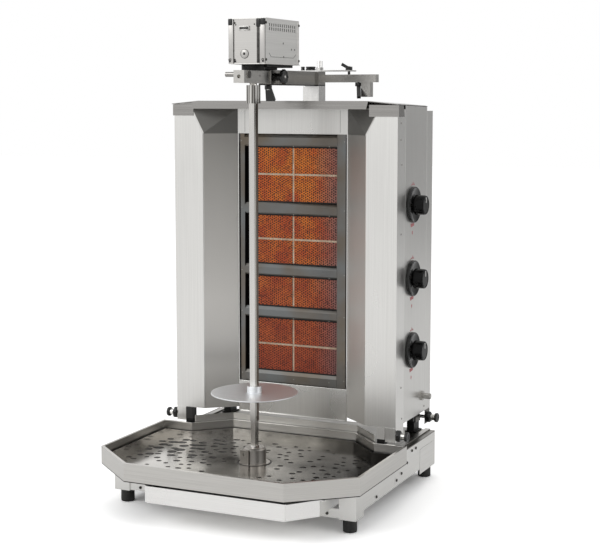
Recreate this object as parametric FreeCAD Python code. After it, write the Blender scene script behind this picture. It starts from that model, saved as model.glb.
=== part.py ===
import FreeCAD, Part
import math
import os

from FreeCAD import Vector

os.makedirs("parts", exist_ok=True)

# Gas doner kebab grill, in millimetres. +X is the operator's right, +Y points to the rear and +Z up.
# While it is drawn, y = 0 is the front plane of the burner tower and z = 0 the surface it stands on.

# Clearances
gap = 0.3                 # between pieces that pass each other
fit = 0.08                # radial, a shaft or screw in its hole
sheet = 1.5               # folded sheet of the body
leg_sheet = 2.0

# Base frame
base_step = 12.0          # base beyond the tower on each side
base_front = -259.0
base_rear_step = 3.0
leg_width = 38.0
leg_depth = 44.0
rear_leg_depth = 103.0
rear_leg_top = 86.0
foot_radius = 15.0
foot_height = 28.0
foot_side_inset = 21.0
foot_front_inset = 20.0
foot_rear_inset = 14.0
bolt_radius = 4.0
apron_bottom = 40.0
apron_seam = -35.0
apron_rear = 128.0
deck_front = -3.0
deck_top = 108.0
deck_sheet = 2.0
splash_top = 144.0
splash_gap = 3.0
rail_inset = 2.0
rail_top = 76.0
rail_notch_top = 50.0

# Tray
tray_floor = 90.8
tray_top = 129.0
tray_front = -387.0
tray_front_half = 184.0
tray_step = 18.5          # tray beyond the base on each side
tray_shoulder = -283.0
tray_rear_side = -10.0
tray_post_gap = 2.0       # from the rear of the tray to the posts
tray_back = 61.0
tray_back_half = 157.0
tray_flange = 6.5
liner_top = 109.0
liner_sheet = 1.2
liner_play = 0.5
drain_left = -110.0
drain_right = 180.0
drain_front = -365.0
drain_rear = -195.0
hole_pitch = 27.0
hole_shift = 5.5          # how far a hole strays from its place in the rows
hole_border = 17.0
hole_small = 3.6
hole_large = 11.5
hole_stretch = 0.35       # the most a hole is wider than it is deep
crowd_x = -215.0          # where the holes are largest
crowd_y = -85.0
crowd_reach = 105.0
plain_radius = 62.0

# Grease drawer
drawer_left = -129.0
drawer_leg_gap = 13.0     # from the drawer to the right front leg
drawer_corner_x = 186.0
drawer_corner_y = -326.0
drawer_front_y = -388.0
drawer_rear = -60.0
drawer_bottom = 52.0
drawer_top = 86.0
drawer_lip = 8.0
drawer_panel_left = -131.0
drawer_panel_right = 189.0
drawer_panel_sheet = 2.5
drawer_panel_bottom = 54.0
drawer_panel_top = 88.0
drawer_panel_return = 7.0

# Tower shell
tower_half = 275.0
tower_depth = 230.0
tower_bottom = 163.0
column_width = 73.2
column_side = 50.0
recess_half = 138.0
recess_depth = 52.0
flare_bottom = 805.0
flare_top = 862.0
flare_reach = 30.2
surround_bottom = 154.0
surround_lip = 4.0
window_half = 135.0
window_return = 12.0
rear_side_width = 39.0
side_return = 30.0
rear_return_top = 857.0
roof_top = 880.0
roof_flat_half = 209.0
roof_side_reach = 3.0
roof_eave = 873.5
roof_overhang = 7.0
roof_fall = 7.0           # from the front edge to the rear one
roof_notch = 18.0         # at each rear corner
roof_skirt = 28.0
fascia_slant = 5.0
end_fascia_bottom = 846.0
end_fascia_top = 871.5
left_fascia_edge = 15.0   # the centre fascia reaches this much further on the left
end_fascia_wrap = 35.0
vent_length = 42.0
vent_height = 5.0
vent_pitch = 56.0
vent_count = 7
vent_rows = 4
vent_row_pitch = 16.0
vent_z = 760.0

# Burners, from the lowest upwards
window_bottom = 227.0
bar_heights = (28.0, 25.0, 26.0, 27.0, 28.5)
burner_heights = (126.0, 73.0, 116.0, 128.5)
tile_row_counts = (2, 1, 2, 2)
bar_slope = 8.0
frame_play = 3.0          # from the frame to each side of the window
frame_bar = 21.0
frame_left_bar = 11.0     # the rest of the left bar is a flange set back
frame_flange = 1.0
frame_front = 54.0
frame_back = 59.7
tile_half = 113.0
tile_joint = 4.6
tile_lap = 1.5            # of the tiles behind the frame
tile_front = 60.0
tile_depth = 12.0
cement_border = 3.0
cement_front = 61.0
burner_depth = 52.0
mixer_radius = 11.0
mixer_bell = 16.0
mixer_bell_length = 12.0

# Gas line and knobs
knob_y = 97.0
knob_heights = (322.0, 485.0, 650.0)
valve_feed_counts = (1, 2, 1)   # burners on each valve, from the lowest
knob_radius = 22.5
knob_length = 24.2
knob_travel = 4.0
bezel_radius = 40.5
bezel_height = 8.0
bezel_recess = 24.0
bezel_floor = 3.2
spindle_radius = 4.0
valve_width = 40.0
valve_depth = 34.0
valve_height = 44.0
valve_inset = 57.0        # from the outside of the panel to the back of the valve
collar_radius = 11.0
pipe_radius = 5.0
pipe_inset = 72.0
nozzle_reach = 26.5
nozzle_gap = 4.0
nozzle_radius = 6.0
manifold_size = 20.0
manifold_inset = 37.0
inlet_y = 170.0
inlet_z = 203.0
inlet_radius = 6.5
inlet_reach = 22.0
inlet_nut = 11.0
inlet_nut_height = 4.0
probe_radius = 1.5

# Tower supports
post_inset = 25.0
post_width = 18.0
post_split = 136.0
rear_block_length = 46.0
front_post = (-2.5, 16.0)
rear_post_length = 35.0
post_flange = 5.0
bracket_bottom = 130.5
bracket_length = 32.0
bracket_inset = 2.0
tower_travel = 25.0
clamp_z = 145.0
front_clamp_y = 6.0
rear_clamp_inset = 22.0
star_hub_radius = 13.0
star_hub_length = 10.0
star_waist_radius = 7.0
star_waist_length = 10.0
star_disc_radius = 10.8
star_disc_length = 7.0
star_lobes = 5

# Arm
mast_half = 20.0
mast_inset = 73.0         # from the rear of the tower to the front of the mast
mast_wall = 3.0
head_bottom = 914.0
head_top = 947.0
tube_half = 15.0
tube_front = -88.0
bar_half = 12.5
bar_bottom = 918.0
bar_top = 944.5
bar_front = -211.0
bar_rear = 150.0
spit_y = -143.0
cross_rod_radius = 5.25
cross_rod_y = -190.0
cross_rod_z = 936.0
cross_rod_reach = 41.0
cross_rod_head = 8.5
plate_left = -33.0
plate_right = 98.0
plate_thick = 3.0
pivot_x = 14.0
pivot_radius = 6.5
pivot_height = 22.0
pivot_nut_flat = 8.0
pivot_nut_height = 7.0
cap_knob_x = -9.0
cap_knob_radius = 11.5
cap_knob_height = 9.0
small_cap_x = -29.0
small_cap_radius = 4.5
cross_bar_right = 158.0
cross_bar_bottom = 922.0
cross_bar_top = 940.0
cross_bar_half = 10.0
hang_left = 122.0
hang_right = 144.0
hang_bottom = 888.5
clamp_knob_y = -55.0
clamp_knob_z = 932.0
clamp_knob_radius = 16.8
clamp_knob_start = 25.0
clamp_knob_end = 35.0
clamp_knob_lobes = 8
lever_a_y = -70.0
lever_a_drop = 33.0
lever_b_x = 88.0
lever_c_x = 112.0
lever_hub_radius = 8.0
lever_thick = 7.0

# Motor
motor_half = 43.5
motor_front = -175.0
motor_rear = 0.0
flange_height = 7.5
motor_base_thick = 7.0    # with the floor of the case on it
motor_base_half = 30.0
motor_base_front = -138.0
motor_base_rear = -8.0
motor_height = 95.0
corner_size = 9.0
corner_round = 5.0
case_sheet = 1.5
lid_sheet = 2.0
flange_radius = 25.0
strap_length = 93.0
gear_box_length = 112.0
motor_can_place = 80.0    # from the front of the case to the middle of the motor can
shaft_radius = 8.0
shaft_socket = 16.0
vent_slot_width = 4.0
vent_slot_height = 6.5
vent_slot_count = 13
vent_slot_pitch = 10.6
vent_slot_row = 8.5
vent_slot_drop = 12.0     # of the upper row below the lid
plug_width = 24.0
plug_height = 8.0
plug_x = -5.0
plug_drop = 21.5
round_fitting_rise = 20.0
round_fitting_radius = 7.0

# Spit
spit_size = 14.0
spit_turned = -10.5
sleeve_size = 21.5
sleeve_bottom = 875.0
sleeve_socket = 30.0
socket_play = 0.3
spit_joint_z = 185.0
stub_size = 12.0
journal_radius = 10.0
cup_radius = 25.0
cup_top = 127.0
cup_flange_radius = 34.0
cup_floor = 95.0
floor_ring_radius = 38.0
disc_radius = 95.0
disc_z = 246.0
disc_thick = 2.5
disc_hub_radius = 16.0
disc_hub_height = 14.0

# Values that follow from the sizes above
base_rear = tower_depth + base_rear_step
side_panel_rear = tower_depth - rear_side_width
rear_block = (tower_depth - rear_block_length, tower_depth)
rear_post = (tower_depth - post_flange - rear_post_length, tower_depth - post_flange)
bracket_rear = (tower_depth - bracket_inset - bracket_length, tower_depth - bracket_inset)
rear_clamp_y = tower_depth - rear_clamp_inset
mast_front = tower_depth - mast_inset
frame_half = window_half - frame_play
frame_inner_half = frame_half - frame_bar
motor_base_bottom = bar_top + flange_height
motor_bottom = motor_base_bottom + motor_base_thick
motor_top = motor_bottom + motor_height
plug_z = motor_top - plug_drop
round_fitting_z = motor_bottom + round_fitting_rise
base_half = tower_half + base_step
tray_half = base_half + tray_step
post_outer = tower_half - post_inset
post_inner = post_outer - post_width
tray_rear_half = post_inner - tray_post_gap
drawer_right = base_half - leg_width - drawer_leg_gap
roof_half = tower_half + roof_side_reach
manifold_x = tower_half - manifold_inset
pipe_x = tower_half - pipe_inset
valve_back = tower_half - valve_inset
tray_underside = tray_floor - sheet
deck_under = deck_top - deck_sheet
column_inner = tower_half - column_width
window_top = window_bottom + sum(bar_heights) + sum(burner_heights)
mast_rear = mast_front + 2 * mast_half
mast_y = (mast_front + mast_rear) / 2
foot_x = base_half - foot_side_inset
foot_front_y = base_front + foot_front_inset
foot_rear_y = base_rear - foot_rear_inset
panel_inner = tower_half - sheet
plenum_half = tile_half + cement_border + sheet
knob_start = tower_half + bezel_height + gap
valve_front = valve_back + valve_width
nozzle_tip = pipe_x - nozzle_reach
mixer_length = nozzle_tip - nozzle_gap - plenum_half

X_AXIS = Vector(1, 0, 0)
Y_AXIS = Vector(0, 1, 0)
Z_AXIS = Vector(0, 0, 1)

pieces = {}


def box(x0, x1, y0, y1, z0, z1):
    return Part.makeBox(x1 - x0, y1 - y0, z1 - z0, Vector(x0, y0, z0))


def rod(axis, start, end, across, radius):
    """Cylinder along an axis from start to end; across holds its other two coordinates in x, y, z order."""
    if axis == X_AXIS:
        base = Vector(start, across[0], across[1])
    elif axis == Y_AXIS:
        base = Vector(across[0], start, across[1])
    else:
        base = Vector(across[0], across[1], start)
    return Part.makeCylinder(radius, end - start, base, axis)


def extrude(points, direction):
    wire = Part.makePolygon([Vector(*p) for p in points] + [Vector(*points[0])])
    return Part.Face(wire).extrude(direction)


def prism_x(points, x0, x1):
    return extrude([(x0, y, z) for y, z in points], Vector(x1 - x0, 0, 0))


def prism_y(points, y0, y1):
    return extrude([(x, y0, z) for x, z in points], Vector(0, y1 - y0, 0))


def prism_z(points, z0, z1):
    return extrude([(x, y, z0) for x, y in points], Vector(0, 0, z1 - z0))


def offset_path(points, distance, closed=False):
    """The path moved sideways to its left by a distance, with mitred corners."""
    count = len(points)
    moved = []
    for i, (px, py) in enumerate(points):
        before = points[i - 1] if (closed or i > 0) else None
        after = points[(i + 1) % count] if (closed or i < count - 1) else None
        normals = []
        for start, end in ((before, (px, py)), ((px, py), after)):
            if start is None or end is None:
                continue
            dx = end[0] - start[0]
            dy = end[1] - start[1]
            length = math.hypot(dx, dy)
            normals.append((-dy / length, dx / length))
        nx = sum(n[0] for n in normals)
        ny = sum(n[1] for n in normals)
        scale = distance * len(normals) / (nx * nx + ny * ny)
        if len(normals) == 1:
            scale = distance
        moved.append((px + nx * scale, py + ny * scale))
    return moved


def folded(points, thickness, z0, z1):
    """Sheet folded along a plan path, thickened to the path's left."""
    return prism_z(points + offset_path(points, thickness)[::-1], z0, z1)


def hexagon(x, y, flat):
    corner = flat / math.cos(math.pi / 6)
    turns = [math.radians(60 * k) for k in range(6)]
    return [(x + corner * math.cos(a), y + corner * math.sin(a)) for a in turns]


def fused(shapes):
    whole = shapes[0]
    for shape in shapes[1:]:
        whole = whole.fuse(shape)
    return whole.removeSplitter()


def cut(shape, tools):
    for tool in tools:
        shape = shape.cut(tool)
    return shape


def mirrored(shape):
    return shape.mirror(Vector(0, 0, 0), X_AXIS)


def pair(shape):
    return [shape, mirrored(shape)]


def add(name, shapes):
    pieces[name] = Part.makeCompound(shapes) if len(shapes) > 1 else shapes[0]


def square_rod(size, z0, z1):
    half = size / 2
    bar = box(-half, half, -half, half, z0, z1)
    bar.rotate(Vector(0, 0, 0), Z_AXIS, spit_turned)
    bar.translate(Vector(0, spit_y, 0))
    return bar


# Feet, their bolts and the folded legs

foot_places = [(sx * foot_x, y) for sx in (-1, 1) for y in (foot_front_y, foot_rear_y)]
bolt_sink = 14.0
bolt_rise = 12.0
foot_edge = 1.5
nut_flat = 6.5
nut_height = 6.0
feet = []
bolts = []
for fx, fy in foot_places:
    foot = rod(Z_AXIS, 0, foot_height, (fx, fy), foot_radius)
    foot = foot.makeChamfer(foot_edge, [e for e in foot.Edges if e.BoundBox.ZMax < 0.1])
    feet.append(foot.cut(rod(Z_AXIS, foot_height - bolt_sink, foot_height, (fx, fy), bolt_radius + fit)))
    shank = rod(Z_AXIS, foot_height - bolt_sink, foot_height + bolt_rise, (fx, fy), bolt_radius)
    nut = prism_z(hexagon(fx, fy, nut_flat), foot_height + leg_sheet, foot_height + leg_sheet + nut_height)
    bolts.append(shank.fuse(nut))
add("rubber_feet", feet)

front_leg = folded(
    [(base_half - leg_width, base_front), (base_half, base_front), (base_half, base_front + leg_depth)],
    leg_sheet, foot_height, tray_underside)
front_pad = box(base_half - leg_width, base_half, base_front, base_front + leg_depth,
                foot_height, foot_height + leg_sheet)
rear_leg = folded(
    [(base_half, base_rear - rear_leg_depth), (base_half, base_rear), (base_half - leg_width, base_rear)],
    leg_sheet, foot_height, rear_leg_top)
rear_pad = box(base_half - leg_width, base_half, base_rear - leg_depth, base_rear,
               foot_height, foot_height + leg_sheet)
front_leg = fused([front_leg, front_pad]).cut(
    rod(Z_AXIS, 0, rear_leg_top, (foot_x, foot_front_y), bolt_radius + fit))
rear_leg = fused([rear_leg, rear_pad]).cut(
    rod(Z_AXIS, 0, rear_leg_top, (foot_x, foot_rear_y), bolt_radius + fit))
add("base_legs", pair(front_leg) + pair(rear_leg))

# Aprons along the sides, front rail and rear panel

seam = 0.6
tie_margin = 8.0
rail_lap = 14.0           # of the rails onto the legs
rail_fold = 11.0
notch_side = 16.0         # of the rail's notch beyond the drawer
apron_front_y = base_front + leg_depth
front_apron = prism_x(
    [(apron_front_y, apron_bottom), (apron_seam - seam / 2, apron_bottom),
     (apron_seam - seam / 2, tray_underside), (apron_front_y, tray_underside)],
    base_half - sheet, base_half)
rear_apron = prism_x(
    [(apron_seam + seam / 2, apron_bottom), (apron_rear, apron_bottom), (apron_rear, rear_leg_top + gap),
     (base_rear, rear_leg_top + gap), (base_rear, deck_under), (deck_front, deck_under),
     (deck_front, tray_underside), (apron_seam + seam / 2, tray_underside)],
    base_half - sheet, base_half)
apron_tie = box(base_half - 2 * sheet, base_half - sheet, apron_front_y, apron_rear,
                apron_bottom + tie_margin, tray_underside - tie_margin)
rail_half = base_half - leg_width + rail_lap
rail_y = base_front + leg_sheet
rail_low = foot_height + rail_inset
front_rail = box(-rail_half, rail_half, rail_y, rail_y + sheet, rail_low, rail_top)
front_rail = front_rail.fuse(
    box(-rail_half, rail_half, rail_y, rail_y + rail_fold, rail_low, rail_low + sheet))
front_rail = front_rail.cut(
    box(drawer_left - notch_side, rail_half - leg_sheet * 2, rail_y - 1, rail_y + sheet + 1,
        rail_notch_top, rail_top + 1))
front_rail = cut(front_rail, [
    box(s * foot_x - foot_radius, s * foot_x + foot_radius, rail_y + sheet, foot_front_y + foot_radius,
        foot_height, rail_notch_top) for s in (-1, 1)])
rear_panel = box(-rail_half, rail_half, base_rear - leg_sheet - sheet, base_rear - leg_sheet,
                 rail_low, deck_under)
add("base_rails", pair(front_apron) + pair(rear_apron) + pair(apron_tie) + [front_rail, rear_panel])

# Screws of the base: cap heads on the aprons and the front rail

apron_screws = ((-144.3, 49.7), (-24.2, 54.1), (7.1, 61.8), (42.0, 76.9), (74.5, 97.0), (100.0, 97.0))
screw_head = 3.2
head_height = 1.8
for sy, sz in apron_screws:
    head = rod(X_AXIS, base_half, base_half + head_height, (sy, sz), screw_head)
    bolts.extend(pair(head))
rail_screw_x = 222.4
rail_screw_z = 38.0
bolts.append(rod(Y_AXIS, rail_y - head_height, rail_y, (-rail_screw_x, rail_screw_z), screw_head))
bolts.append(rod(Y_AXIS, rail_y - head_height, rail_y, (rail_screw_x, rail_screw_z), screw_head))
add("base_bolts", bolts)

# Grease tray: a rim with a drained floor, and the liner that lies in it, a punched plate with a welded wall

tray_outline = [
    (-tray_front_half, tray_front), (tray_front_half, tray_front), (tray_half, tray_shoulder),
    (tray_half, tray_rear_side), (tray_rear_half, tray_rear_side), (tray_back_half, tray_back),
    (-tray_back_half, tray_back), (-tray_rear_half, tray_rear_side), (-tray_half, tray_rear_side),
    (-tray_half, tray_shoulder)]
tray_solid = prism_z(tray_outline, tray_underside, tray_top)
tray_hollow = prism_z(offset_path(tray_outline, sheet, True), tray_floor, tray_top - sheet)
tray_mouth = prism_z(offset_path(tray_outline, tray_flange, True), tray_top - sheet, tray_top)
drain = box(drain_left, drain_right, drain_front, drain_rear, tray_underside, tray_floor)
add("tray_rim", [cut(tray_solid, [tray_hollow, tray_mouth, drain])])

liner_outline = offset_path(tray_outline, tray_flange + liner_play, True)
liner_upper = tray_floor + liner_sheet
liner_wall = prism_z(liner_outline, liner_upper, liner_top)
liner_wall = liner_wall.cut(
    prism_z(offset_path(liner_outline, liner_sheet, True), liner_upper - 1, liner_top + 1))
liner_plate = prism_z(liner_outline, tray_floor, liner_upper)
field_corners = [Vector(x, y, 0) for x, y in offset_path(liner_outline, hole_border, True)]
hole_field = Part.Face(Part.makePolygon(field_corners + field_corners[:1]))
liner_bottom = tray_floor - 1
liner_clear = liner_upper + 1


def liner_hole(x, y, across, along):
    """Oval punch through the floor of the liner; its radii run across x and along y."""
    if across <= along:
        return rod(Z_AXIS, liner_bottom, liner_clear, (x, y), along)
    oval = Part.Ellipse(Vector(x, y, liner_bottom), across, along).toShape()
    return Part.Face(Part.Wire([oval])).extrude(Vector(0, 0, liner_clear - liner_bottom))


holes = []
rows = int((tray_back - tray_front) / hole_pitch)
columns_across = int(2 * tray_half / hole_pitch)
for row in range(rows + 1):
    for column in range(columns_across + 1):
        turn = 2.4 * (row * (columns_across + 1) + column)
        hx = -tray_half + hole_pitch * (column + 0.5 * (row % 2)) + hole_shift * math.cos(turn)
        hy = tray_front + hole_pitch * row + hole_shift * math.sin(1.7 * turn)
        crowd = math.exp(-((hx - crowd_x) ** 2 + (hy - crowd_y) ** 2) / crowd_reach ** 2)
        share = 0.5 + 0.5 * math.sin(1.3 * turn)
        along = hole_small + (hole_large - hole_small) * (0.3 * share + crowd * (0.45 + 0.25 * share))
        across = along * (1 + hole_stretch * (0.5 + 0.5 * math.cos(2.9 * turn)))
        from_foot = math.hypot(hx, hy - spit_y)
        plain_front = abs(hx) < plain_radius and hy < spit_y
        thinned = math.sin(3.7 * turn) > 0.55 + crowd
        if from_foot < plain_radius or plain_front or thinned:
            continue
        if not hole_field.isInside(Vector(hx, hy, 0), 0.01, True):
            continue
        holes.append(liner_hole(hx, hy, across, along))
holes.append(liner_hole(0, spit_y, floor_ring_radius, floor_ring_radius))
add("perforated_tray", [liner_plate.cut(Part.makeCompound(holes)), liner_wall])

# Rear deck with the upright splash strip behind the tray

deck = box(-base_half, base_half, deck_front, base_rear, deck_under, deck_top)
deck = deck.cut(prism_z(offset_path(tray_outline, -gap, True), deck_under - 1, deck_top + 1))
splash_inner = offset_path(tray_outline, -splash_gap, True)[4:8]
splash_outer = offset_path(tray_outline, -splash_gap - sheet, True)[4:8]
splash = prism_z(splash_inner + splash_outer[::-1], deck_top, splash_top)
splash_end = tray_rear_side + 9
splash = splash.cut(box(-tower_half, tower_half, tray_shoulder, splash_end, deck_top, splash_top))
strip_front = deck_front + 4
strip_height = 3.0
strip_inner = tower_half - base_step
side_strip = box(strip_inner, tower_half, strip_front, base_rear, deck_top, deck_top + strip_height)
add("rear_deck", [fused([deck, splash] + pair(side_strip))])

# Posts and blocks that carry the tower, fixed to the deck

post_flange_sheet = 3.0
thread_depth = 14.0
shank_depth = 12.0
posts = []
blocks = []
for (py0, py1), (by0, by1), cy in (
        (front_post, front_post, front_clamp_y), (rear_post, rear_block, rear_clamp_y)):
    post = box(post_inner, post_outer, py0, py1, deck_top, post_split)
    flange = box(post_inner - post_flange, post_outer + post_flange, py0, py1 + post_flange,
                 deck_top, deck_top + post_flange_sheet)
    posts += pair(post.fuse(flange))
    block = box(post_inner, post_outer, by0, by1, post_split, tower_bottom - gap)
    thread = rod(X_AXIS, post_outer - thread_depth, post_outer + 1, (cy, clamp_z), bolt_radius + fit)
    blocks += pair(block.cut(thread))
add("slide_posts", posts)
add("slide_blocks", blocks)


def clamp_slot(y, y_end, x0, x1):
    high = bolt_radius + gap
    return box(x0, x1, y - high, y_end + high, clamp_z - high, clamp_z + high)


# Star knobs that clamp the tower: lobed hub, waist, cap disc and a threaded shank

star_notch = 4.0
star_notch_reach = star_hub_radius + 1.5
for name, sx, cy in (
        ("star_knob_front_right", 1, front_clamp_y), ("star_knob_rear_right", 1, rear_clamp_y),
        ("star_knob_front_left", -1, front_clamp_y), ("star_knob_rear_left", -1, rear_clamp_y)):
    start = tower_half + 2 * gap
    hub = rod(X_AXIS, start, start + star_hub_length, (cy, clamp_z), star_hub_radius)
    for k in range(star_lobes):
        a = 2 * math.pi * (k + 0.5) / star_lobes
        notch = (cy + star_notch_reach * math.cos(a), clamp_z + star_notch_reach * math.sin(a))
        hub = hub.cut(rod(X_AXIS, start - 1, start + star_hub_length + 1, notch, star_notch))
    waist_end = start + star_hub_length + star_waist_length
    waist = rod(X_AXIS, start, waist_end, (cy, clamp_z), star_waist_radius)
    cap = rod(X_AXIS, waist_end, waist_end + star_disc_length, (cy, clamp_z), star_disc_radius)
    shank = rod(X_AXIS, post_outer - shank_depth, start + 1, (cy, clamp_z), bolt_radius)
    knob = fused([hub, waist, cap, shank])
    add(name, [knob if sx > 0 else mirrored(knob)])

# Steel brackets under the front corners of the tower

bracket_in = post_outer + gap
front_bracket = fused([
    box(bracket_in, tower_half, 0, sheet, bracket_bottom, tower_bottom),
    box(panel_inner, tower_half, 0, column_side, bracket_bottom, tower_bottom),
    box(bracket_in, bracket_in + sheet, 0, column_side, bracket_bottom, tower_bottom),
    box(bracket_in, tower_half, 0, column_side, tower_bottom - sheet, tower_bottom)])
front_bracket = front_bracket.cut(
    clamp_slot(front_clamp_y, front_clamp_y + tower_travel, bracket_in - 1, tower_half + 1))
add("foot_brackets", pair(front_bracket))

rear_bracket = fused([
    box(panel_inner, tower_half, bracket_rear[0], bracket_rear[1], bracket_bottom, tower_bottom),
    box(bracket_in, bracket_in + sheet, bracket_rear[0], bracket_rear[1], bracket_bottom, tower_bottom),
    box(bracket_in, tower_half, bracket_rear[0], bracket_rear[1], tower_bottom - sheet, tower_bottom)])
rear_bracket = rear_bracket.cut(
    clamp_slot(rear_clamp_y, bracket_rear[1] + 10, bracket_in - 1, tower_half + 1))
floor_edge = sheet + 2 * gap
floor_plan = [
    (-panel_inner + gap, floor_edge), (-column_inner - floor_edge, floor_edge),
    (-recess_half - floor_edge, recess_depth + sheet + gap),
    (recess_half + floor_edge, recess_depth + sheet + gap), (column_inner + floor_edge, floor_edge),
    (panel_inner - gap, floor_edge), (panel_inner - gap, tower_depth - sheet - gap),
    (-panel_inner + gap, tower_depth - sheet - gap)]
tower_floor = prism_z(floor_plan, tower_bottom, tower_bottom + leg_sheet)
add("tower_floor", [fused([tower_floor] + pair(rear_bracket))])

# Columns: front face, side return, slanted wing and the splayed corner under the roof

fold_low = (column_inner, 0.0, flare_bottom)
fold_high = (recess_half, recess_depth, flare_top)
flare_end = (column_inner + flare_reach, 0.0, flare_top)
face = extrude([(column_inner, 0, tower_bottom), (tower_half, 0, tower_bottom), (tower_half, 0, flare_top),
                flare_end, fold_low], Vector(0, sheet, 0))
side = box(panel_inner, tower_half, 0, column_side, tower_bottom, flare_top)
wing_length = math.hypot(column_inner - recess_half, recess_depth)
wing_back = Vector(recess_depth / wing_length, (column_inner - recess_half) / wing_length, 0)
wing = extrude([(column_inner, 0, tower_bottom), (recess_half, recess_depth, tower_bottom),
                fold_high, fold_low], wing_back * sheet)
flare_normal = (Vector(*flare_end) - Vector(*fold_low)).cross(Vector(*fold_high) - Vector(*fold_low))
flare_normal.normalize()
if flare_normal.y < 0:
    flare_normal = flare_normal * -1
flare = extrude([fold_low, fold_high, flare_end], flare_normal * sheet)
column = fused([face, side, wing, flare])
add("columns", pair(column))

# Surround of the burner window, between the wings

surround = box(-recess_half + gap, recess_half - gap, recess_depth, recess_depth + sheet,
               surround_bottom, flare_top)
lip_margin = 6.0
lip = box(-recess_half + lip_margin, recess_half - lip_margin, recess_depth - surround_lip, recess_depth,
          surround_bottom, surround_bottom + sheet)
returns = [box(s * (window_half + sheet / 2) - sheet / 2, s * (window_half + sheet / 2) + sheet / 2,
               recess_depth, recess_depth + window_return, window_bottom, window_top) for s in (-1, 1)]
ledges = [box(-window_half - sheet, window_half + sheet, recess_depth, recess_depth + window_return,
              z, z + sheet) for z in (window_bottom - sheet, window_top)]
window = box(-window_half, window_half, recess_depth - 1, recess_depth + 20, window_bottom, window_top)
add("burner_surround", [fused([surround, lip] + returns + ledges).cut(window)])

# Burner frame: side bars and cross bars with sloped tops, in front of the tile edges

frame_low = window_bottom + gap
frame_high = window_top - gap
left_edge = frame_left_bar - frame_half
bars = [
    box(frame_inner_half, frame_half, frame_front, frame_back, frame_low, frame_high),
    box(-frame_half, left_edge, frame_front, frame_back, frame_low, frame_high),
    box(left_edge - 1, -frame_inner_half, frame_back - frame_flange, frame_back, frame_low, frame_high)]
chin_depth = 2.0
chin_height = 3.0
burner_low = []
level = window_bottom
for i, bar_height in enumerate(bar_heights):
    low = max(level, frame_low)
    high = min(level + bar_height, frame_high)
    bars.append(prism_x([(frame_back, low), (frame_front + chin_depth, low), (frame_front, low + chin_height),
                         (frame_front, high - bar_slope), (frame_back, high)], -frame_half, frame_half))
    level += bar_height
    if i < len(burner_heights):
        burner_low.append(level)
        level += burner_heights[i]
add("burner_frame", [fused(bars)])

# Four burners: tiles, cement and the steel box with its mixer tube and bell mouth

tiles = []
cement = []
bodies = []
burner_middle = []
tile_back = tile_front + tile_depth
body_back = tile_front + burner_depth
for low, height, row_count in zip(burner_low, burner_heights, tile_row_counts):
    high = low + height
    middle = (low + high) / 2
    burner_middle.append(middle)
    row_height = (height + 2 * tile_lap + tile_joint) / row_count
    burner_tiles = []
    for k in range(row_count):
        t0 = low - tile_lap + k * row_height
        t1 = t0 + row_height - tile_joint
        for x0, x1 in ((-tile_half, -tile_joint / 2), (tile_joint / 2, tile_half)):
            burner_tiles.append(box(x0, x1, tile_front, tile_back, t0, t1))
    tiles += burner_tiles
    edge = cement_border + tile_lap
    filling = box(-tile_half - cement_border, tile_half + cement_border, cement_front, tile_back - 2,
                  low - edge, high + edge)
    cement.append(cut(filling, burner_tiles))
    shell = box(-plenum_half, plenum_half, tile_front, body_back, low - edge - sheet, high + edge + sheet)
    shell = shell.cut(box(-plenum_half + sheet, plenum_half - sheet, tile_front - 1, body_back - sheet,
                          low - edge, high + edge))
    tube_end = plenum_half + mixer_length
    tube = rod(X_AXIS, plenum_half - sheet, tube_end, (knob_y, middle), mixer_radius)
    bell_start = Vector(tube_end, knob_y, middle)
    bell = Part.makeCone(mixer_radius, mixer_bell, mixer_bell_length, bell_start, X_AXIS)
    bore = rod(X_AXIS, plenum_half - 2 * sheet, tube_end + 1, (knob_y, middle), mixer_radius - sheet)
    bell_bore = Part.makeCone(mixer_radius - sheet, mixer_bell - sheet, mixer_bell_length, bell_start, X_AXIS)
    bodies.append(cut(fused([shell, tube, bell]), [bore, bell_bore]))
add("ceramic_tiles", tiles)
add("tile_cement", cement)
add("burner_bodies", bodies)

# Valves, their spindles, injectors, pipes, probe leads, manifold, bezels and knobs

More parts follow.
